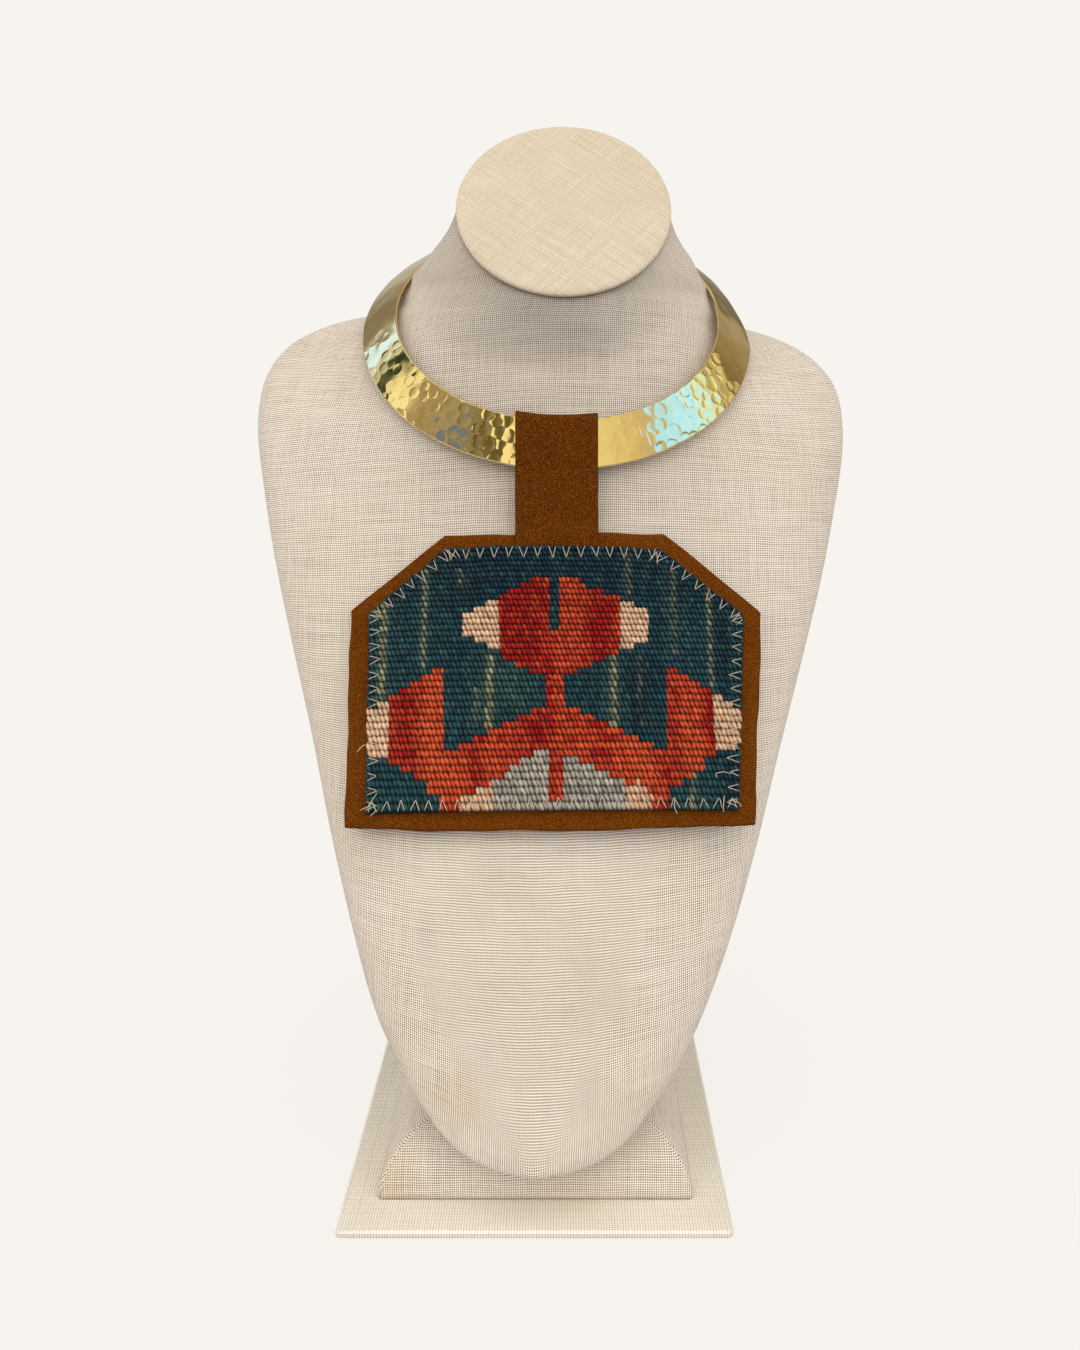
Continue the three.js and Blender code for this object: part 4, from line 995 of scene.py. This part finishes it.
# Along each side of the kilim, tips stand inwards at an even pitch, with a leg to the edge on both
# sides of each. Every leg sinks into the cloth at its ends and stands proud between them.
def zigzag():
    (topLeft, left, footLeft), (topRight, right, footRight) = kilim["left"], kilim["right"]
    corners = np.array([topLeft, topRight, right, footRight, footLeft, left, topLeft])
    legs = []
    for start, stop in zip(corners[:-1], corners[1:]):
        length = np.linalg.norm(stop - start)
        number = max(2, int(round((length - 3) / stitch["pitch"])))
        ahead = (stop - start) / length
        inward = np.array([-ahead[1], ahead[0]])  # the outline runs clockwise as seen, with down positive
        for s in (np.arange(number) + 0.5) * (length / number):
            reach = stitch["depth"] * (1 + random.normal(0, 0.07)) + stitch["inset"]
            tip = start + ahead * (s + random.normal(0, 0.25)) + inward * reach
            for way in (-1, 1):
                aside = s + way * stitch["half"] * (1 + random.normal(0, 0.12))
                foot = start + ahead * aside + inward * (stitch["inset"] + random.normal(0, 0.1))
                legs.append((foot, tip))
    for corner in corners[:-1]:  # the thread doubles back over itself at the corners
        for _ in range(stitch["doubled"]):
            toMiddle = unit(np.array([0, 50]) - corner)
            foot = corner + toMiddle * 1.2 + random.normal(0, 1.3, 2)
            legs.append((foot, foot + toMiddle * 3.4 + random.normal(0, 1.2, 2)))
    legs = np.array(legs)
    t = np.linspace(0, 1, 7)[None, :, None]
    flat = legs[:, :1] + (legs[:, 1:] - legs[:, :1]) * t
    proud = np.array([0.0, 0.32, 0.42, 0.45, 0.42, 0.32, -0.05])[None]
    lift = kilim["thickness"] + overStrap(flat[..., 0], flat[..., 1]) + 0.02 + proud * 0.9
    return panelPoint(flat[..., 0], flat[..., 1], lift)


cotton = cottonMaterial()
stitches = threadPiece("zigzag_stitches", zigzag(), cotton)
looseEnds = [  # small tails of thread: points on the cloth, with their height off it
    [(-63.6, 74.5, 0.5), (-64.6, 75.2, 1.2), (-65.6, 76.3, 1.3), (-66.2, 77.2, 0.9)],
    [(40.0, 92.6, 0.5), (39.6, 94.6, 1.1), (39.8, 96.6, 1.2), (40.6, 98.2, 0.8)],
    [(56.6, 91.6, 0.5), (56.2, 93.6, 1.2), (56.0, 95.8, 1.0), (56.1, 97.6, 0.7)],
    [(59.4, 84.6, 0.5), (56.4, 84.0, 1.6), (53.6, 84.6, 1.4), (54.2, 86.2, 0.6)]]
t = np.linspace(0, 3, 9)
tails = np.stack([[np.interp(t, range(4), part) for part in zip(*tail)] for tail in looseEnds])
tails = tails.transpose(0, 2, 1)
tailPaths = panelPoint(tails[..., 0], tails[..., 1], kilim["thickness"] + 0.25 + tails[..., 2])
tailPiece = threadPiece("thread_ends", tailPaths, cotton)
print("stitched")


floorLook = {"seen": (247, 244, 239), "near": 0.05, "far": 0.2, "bounce": 0.62, "reach": 40, "below": 0.0002}


# To the eye the floor has the backdrop's own tone, with a trace of shading close to the
# object; what it throws back on the object is duller.
def floorMaterial():
    material, add, calc, *_, step = newMaterial("floor")
    nodes = material.node_tree.nodes
    seen = linear(*floorLook["seen"])
    finishMaterial(material, {"Base Color": rgba(seen * 0.85), "Roughness": 1.0, "Specular IOR Level": 0.0})
    away = add("VectorMath", add("TexCoord").outputs["Object"], operation="LENGTH").outputs["Value"]
    glow = add("Emission", rgba(seen), 1.0).outputs[0]
    share = calc("ADD", 0.92, calc("MULTIPLY", step(away, floorLook["near"], floorLook["far"]), 0.08))
    shown = add("MixShader", share, nodes["Principled BSDF"].outputs[0], glow).outputs[0]
    dull = add("Emission", rgba(seen), floorLook["bounce"]).outputs[0]
    eye = add("LightPath").outputs["Is Camera Ray"]
    setInput(nodes["Material Output"], "Surface", add("MixShader", eye, dull, shown).outputs[0])
    return material


floorMesh = bpy.data.meshes.new("floor")
floorCorners = [(x * floorLook["reach"], y * floorLook["reach"], -floorLook["below"])
                for x, y in ((-1, -1), (1, -1), (1, 1), (-1, 1))]
floorMesh.from_pydata(floorCorners, [], [(0, 1, 2, 3)])
floor = bpy.data.objects.new("floor", floorMesh)
floorMesh.materials.append(floorMaterial())
bpy.context.collection.objects.link(floor)


# The light on the cloth: an even room, and soft boxes by the direction they stand in.
room = {"colour": (0.27, 0.285, 0.31)}
softBoxes = [
    {"from": (0.08, -0.62, 1), "inner": 10, "outer": 64, "colour": (1.0, 0.96, 0.9), "strength": 1.64},
    {"from": (-1, -0.3, 0.4), "inner": 10, "outer": 45, "colour": (1.0, 0.97, 0.93), "strength": 1.75},
    {"from": (1, -0.3, 0.4), "inner": 10, "outer": 45, "colour": (1.0, 0.98, 0.96), "strength": 1.6},
]
# What the brass mirrors, by degrees round from the front, chosen for how the brass then looks: pale
# parts, a blue one on each side, and dark ones. A ramp holds up to 32 stops, so each half has its own.
mirrored = [
    (-180, (0.62, 0.62, 0.6)), (-158, (0.5, 0.5, 0.5)), (-148, (0.36, 0.35, 0.36)),
    (-136, (0.24, 0.22, 0.22)), (-121, (0.3, 0.28, 0.25)), (-115.5, (0.46, 0.46, 0.48)),
    (-113.5, (0.8, 1.25, 2.3)), (-105, (0.85, 1.3, 2.45)), (-103, (0.68, 0.7, 0.68)),
    (-98, (0.64, 0.68, 0.7)), (-96.5, (0.03, 0.06, 0.03)), (-88, (0.02, 0.045, 0.02)),
    (-86, (0.92, 0.9, 0.68)), (-84, (1.05, 1.05, 0.9)), (-74, (1.04, 1.02, 0.82)),
    (-70, (0.5, 0.44, 0.33)), (-62, (0.34, 0.29, 0.19)), (-52, (0.42, 0.38, 0.31)),
    (-40, (0.3, 0.29, 0.25)), (-31, (0.25, 0.22, 0.14)), (-28, (0.14, 0.12, 0.055)),
    (-20, (0.12, 0.1, 0.04)), (-18.5, (1.1, 1.02, 0.75)), (-5, (1.05, 1.0, 0.78)),
]
mirroredRight = [
    (-5, (1.05, 1.0, 0.78)), (24, (0.85, 0.8, 0.57)), (36, (0.76, 0.66, 0.44)), (45.5, (0.62, 0.56, 0.4)),
    (47.5, (0.5, 1.12, 2.45)), (73, (0.58, 1.25, 2.75)), (75.5, (0.78, 1.15, 1.35)),
    (81.5, (0.88, 1.12, 1.0)), (85, (0.7, 0.7, 0.48)), (88, (0.44, 0.4, 0.26)), (92, (0.5, 0.44, 0.3)),
    (94.5, (0.85, 0.8, 0.58)), (97.5, (0.82, 0.78, 0.52)), (98.8, (0.18, 0.14, 0.08)),
    (104, (0.25, 0.21, 0.14)), (112, (0.32, 0.27, 0.18)), (124, (0.36, 0.33, 0.27)),
    (131, (0.42, 0.4, 0.35)), (135, (0.36, 0.34, 0.3)), (140, (0.18, 0.17, 0.15)),
    (149, (0.2, 0.19, 0.17)), (162, (0.3, 0.3, 0.27)), (180, (0.5, 0.5, 0.48)),
]
mirroredPatches = [  # degrees round and up, their half sizes, colour
    {"round": -45, "up": 17, "half": (7, 8), "colour": (0.17, 0.24, 0.5)},
    {"round": -84.5, "up": 45, "half": (4, 6), "colour": (0.03, 0.06, 0.03)},
    {"round": -70, "up": 21, "half": (5, 6), "colour": (0.42, 0.36, 0.23)},
    {"round": -60, "up": 62, "half": (60, 12), "colour": (0.9, 0.9, 0.85)},
    {"round": 62, "up": 56, "half": (16, 13), "colour": (0.36, 0.42, 0.3)},
    {"round": 60, "up": 0, "half": (16, 14), "colour": (0.34, 0.4, 0.28)},
]


# The world: the cloth gets the even room and the soft boxes, each fading out round its own
# direction. Only mirror rays see the two ramps and the patches, and the eye sees a plain backdrop.
def studio():
    world = bpy.data.worlds.new("studio")
    bpy.context.scene.world = world
    world.use_nodes = True
    world.node_tree.nodes.clear()
    add, calc, blend, _, step = nodeTools(world.node_tree)
    towards = add("TexCoord").outputs["Generated"]
    lit = add("Background", rgba(room["colour"]), 1.0).outputs[0]
    for box in softBoxes:
        middle = tuple(unit(np.array(box["from"], float)))
        facing = add("VectorMath", towards, middle, operation="DOT_PRODUCT").outputs["Value"]
        inner, outer = [math.cos(math.radians(box[key])) for key in ("inner", "outer")]
        light = add("Background", rgba(box["colour"]), box["strength"]).outputs[0]
        lit = add("MixShader", step(facing, outer, inner), lit, light).outputs[0]
    x, y, z = add("SeparateXYZ", towards).outputs
    degrees = 180 / math.pi
    turned = calc("MULTIPLY", calc("ARCTAN2", x, calc("MULTIPLY", y, -1.0)), degrees)
    up = calc("MULTIPLY", calc("ARCSINE", z), degrees)
    ramps = []
    for stops in (mirrored, mirroredRight):
        ramp = add("ValToRGB", add("MapRange", turned, -180.0, 180.0, 0.0, 1.0).outputs[0])
        for _ in range(len(stops) - 2):
            ramp.color_ramp.elements.new(0.5)
        for element, (at, colour) in zip(ramp.color_ramp.elements, stops):
            element.position = (at + 180) / 360
            element.color = rgba(colour)
        ramps.append(ramp.outputs[0])
    shown = blend(calc("GREATER_THAN", turned, float(mirroredRight[0][0])), *ramps)
    for patch in mirroredPatches:
        away = []
        for value, middle, half in zip((turned, up), (patch["round"], patch["up"]), patch["half"]):
            aside = calc("ABSOLUTE", calc("SUBTRACT", value, float(middle)))
            away.append(calc("DIVIDE", aside, float(half)))
        shown = blend(step(calc("MAXIMUM", *away), 1.1, 0.85), shown, rgba(patch["colour"]))
    mirror = add("Background", shown, 1.0).outputs[0]
    path = add("LightPath").outputs
    lit = add("MixShader", path["Is Glossy Ray"], lit, mirror).outputs[0]
    backdrop = add("Background", rgba(linear(*floorLook["seen"])), 1.0).outputs[0]
    setInput(add("OutputWorld"), "Surface", add("MixShader", path["Is Camera Ray"], lit, backdrop).outputs[0])


studio()
bpy.context.scene.view_settings.view_transform = "Standard"
print("studio lit")
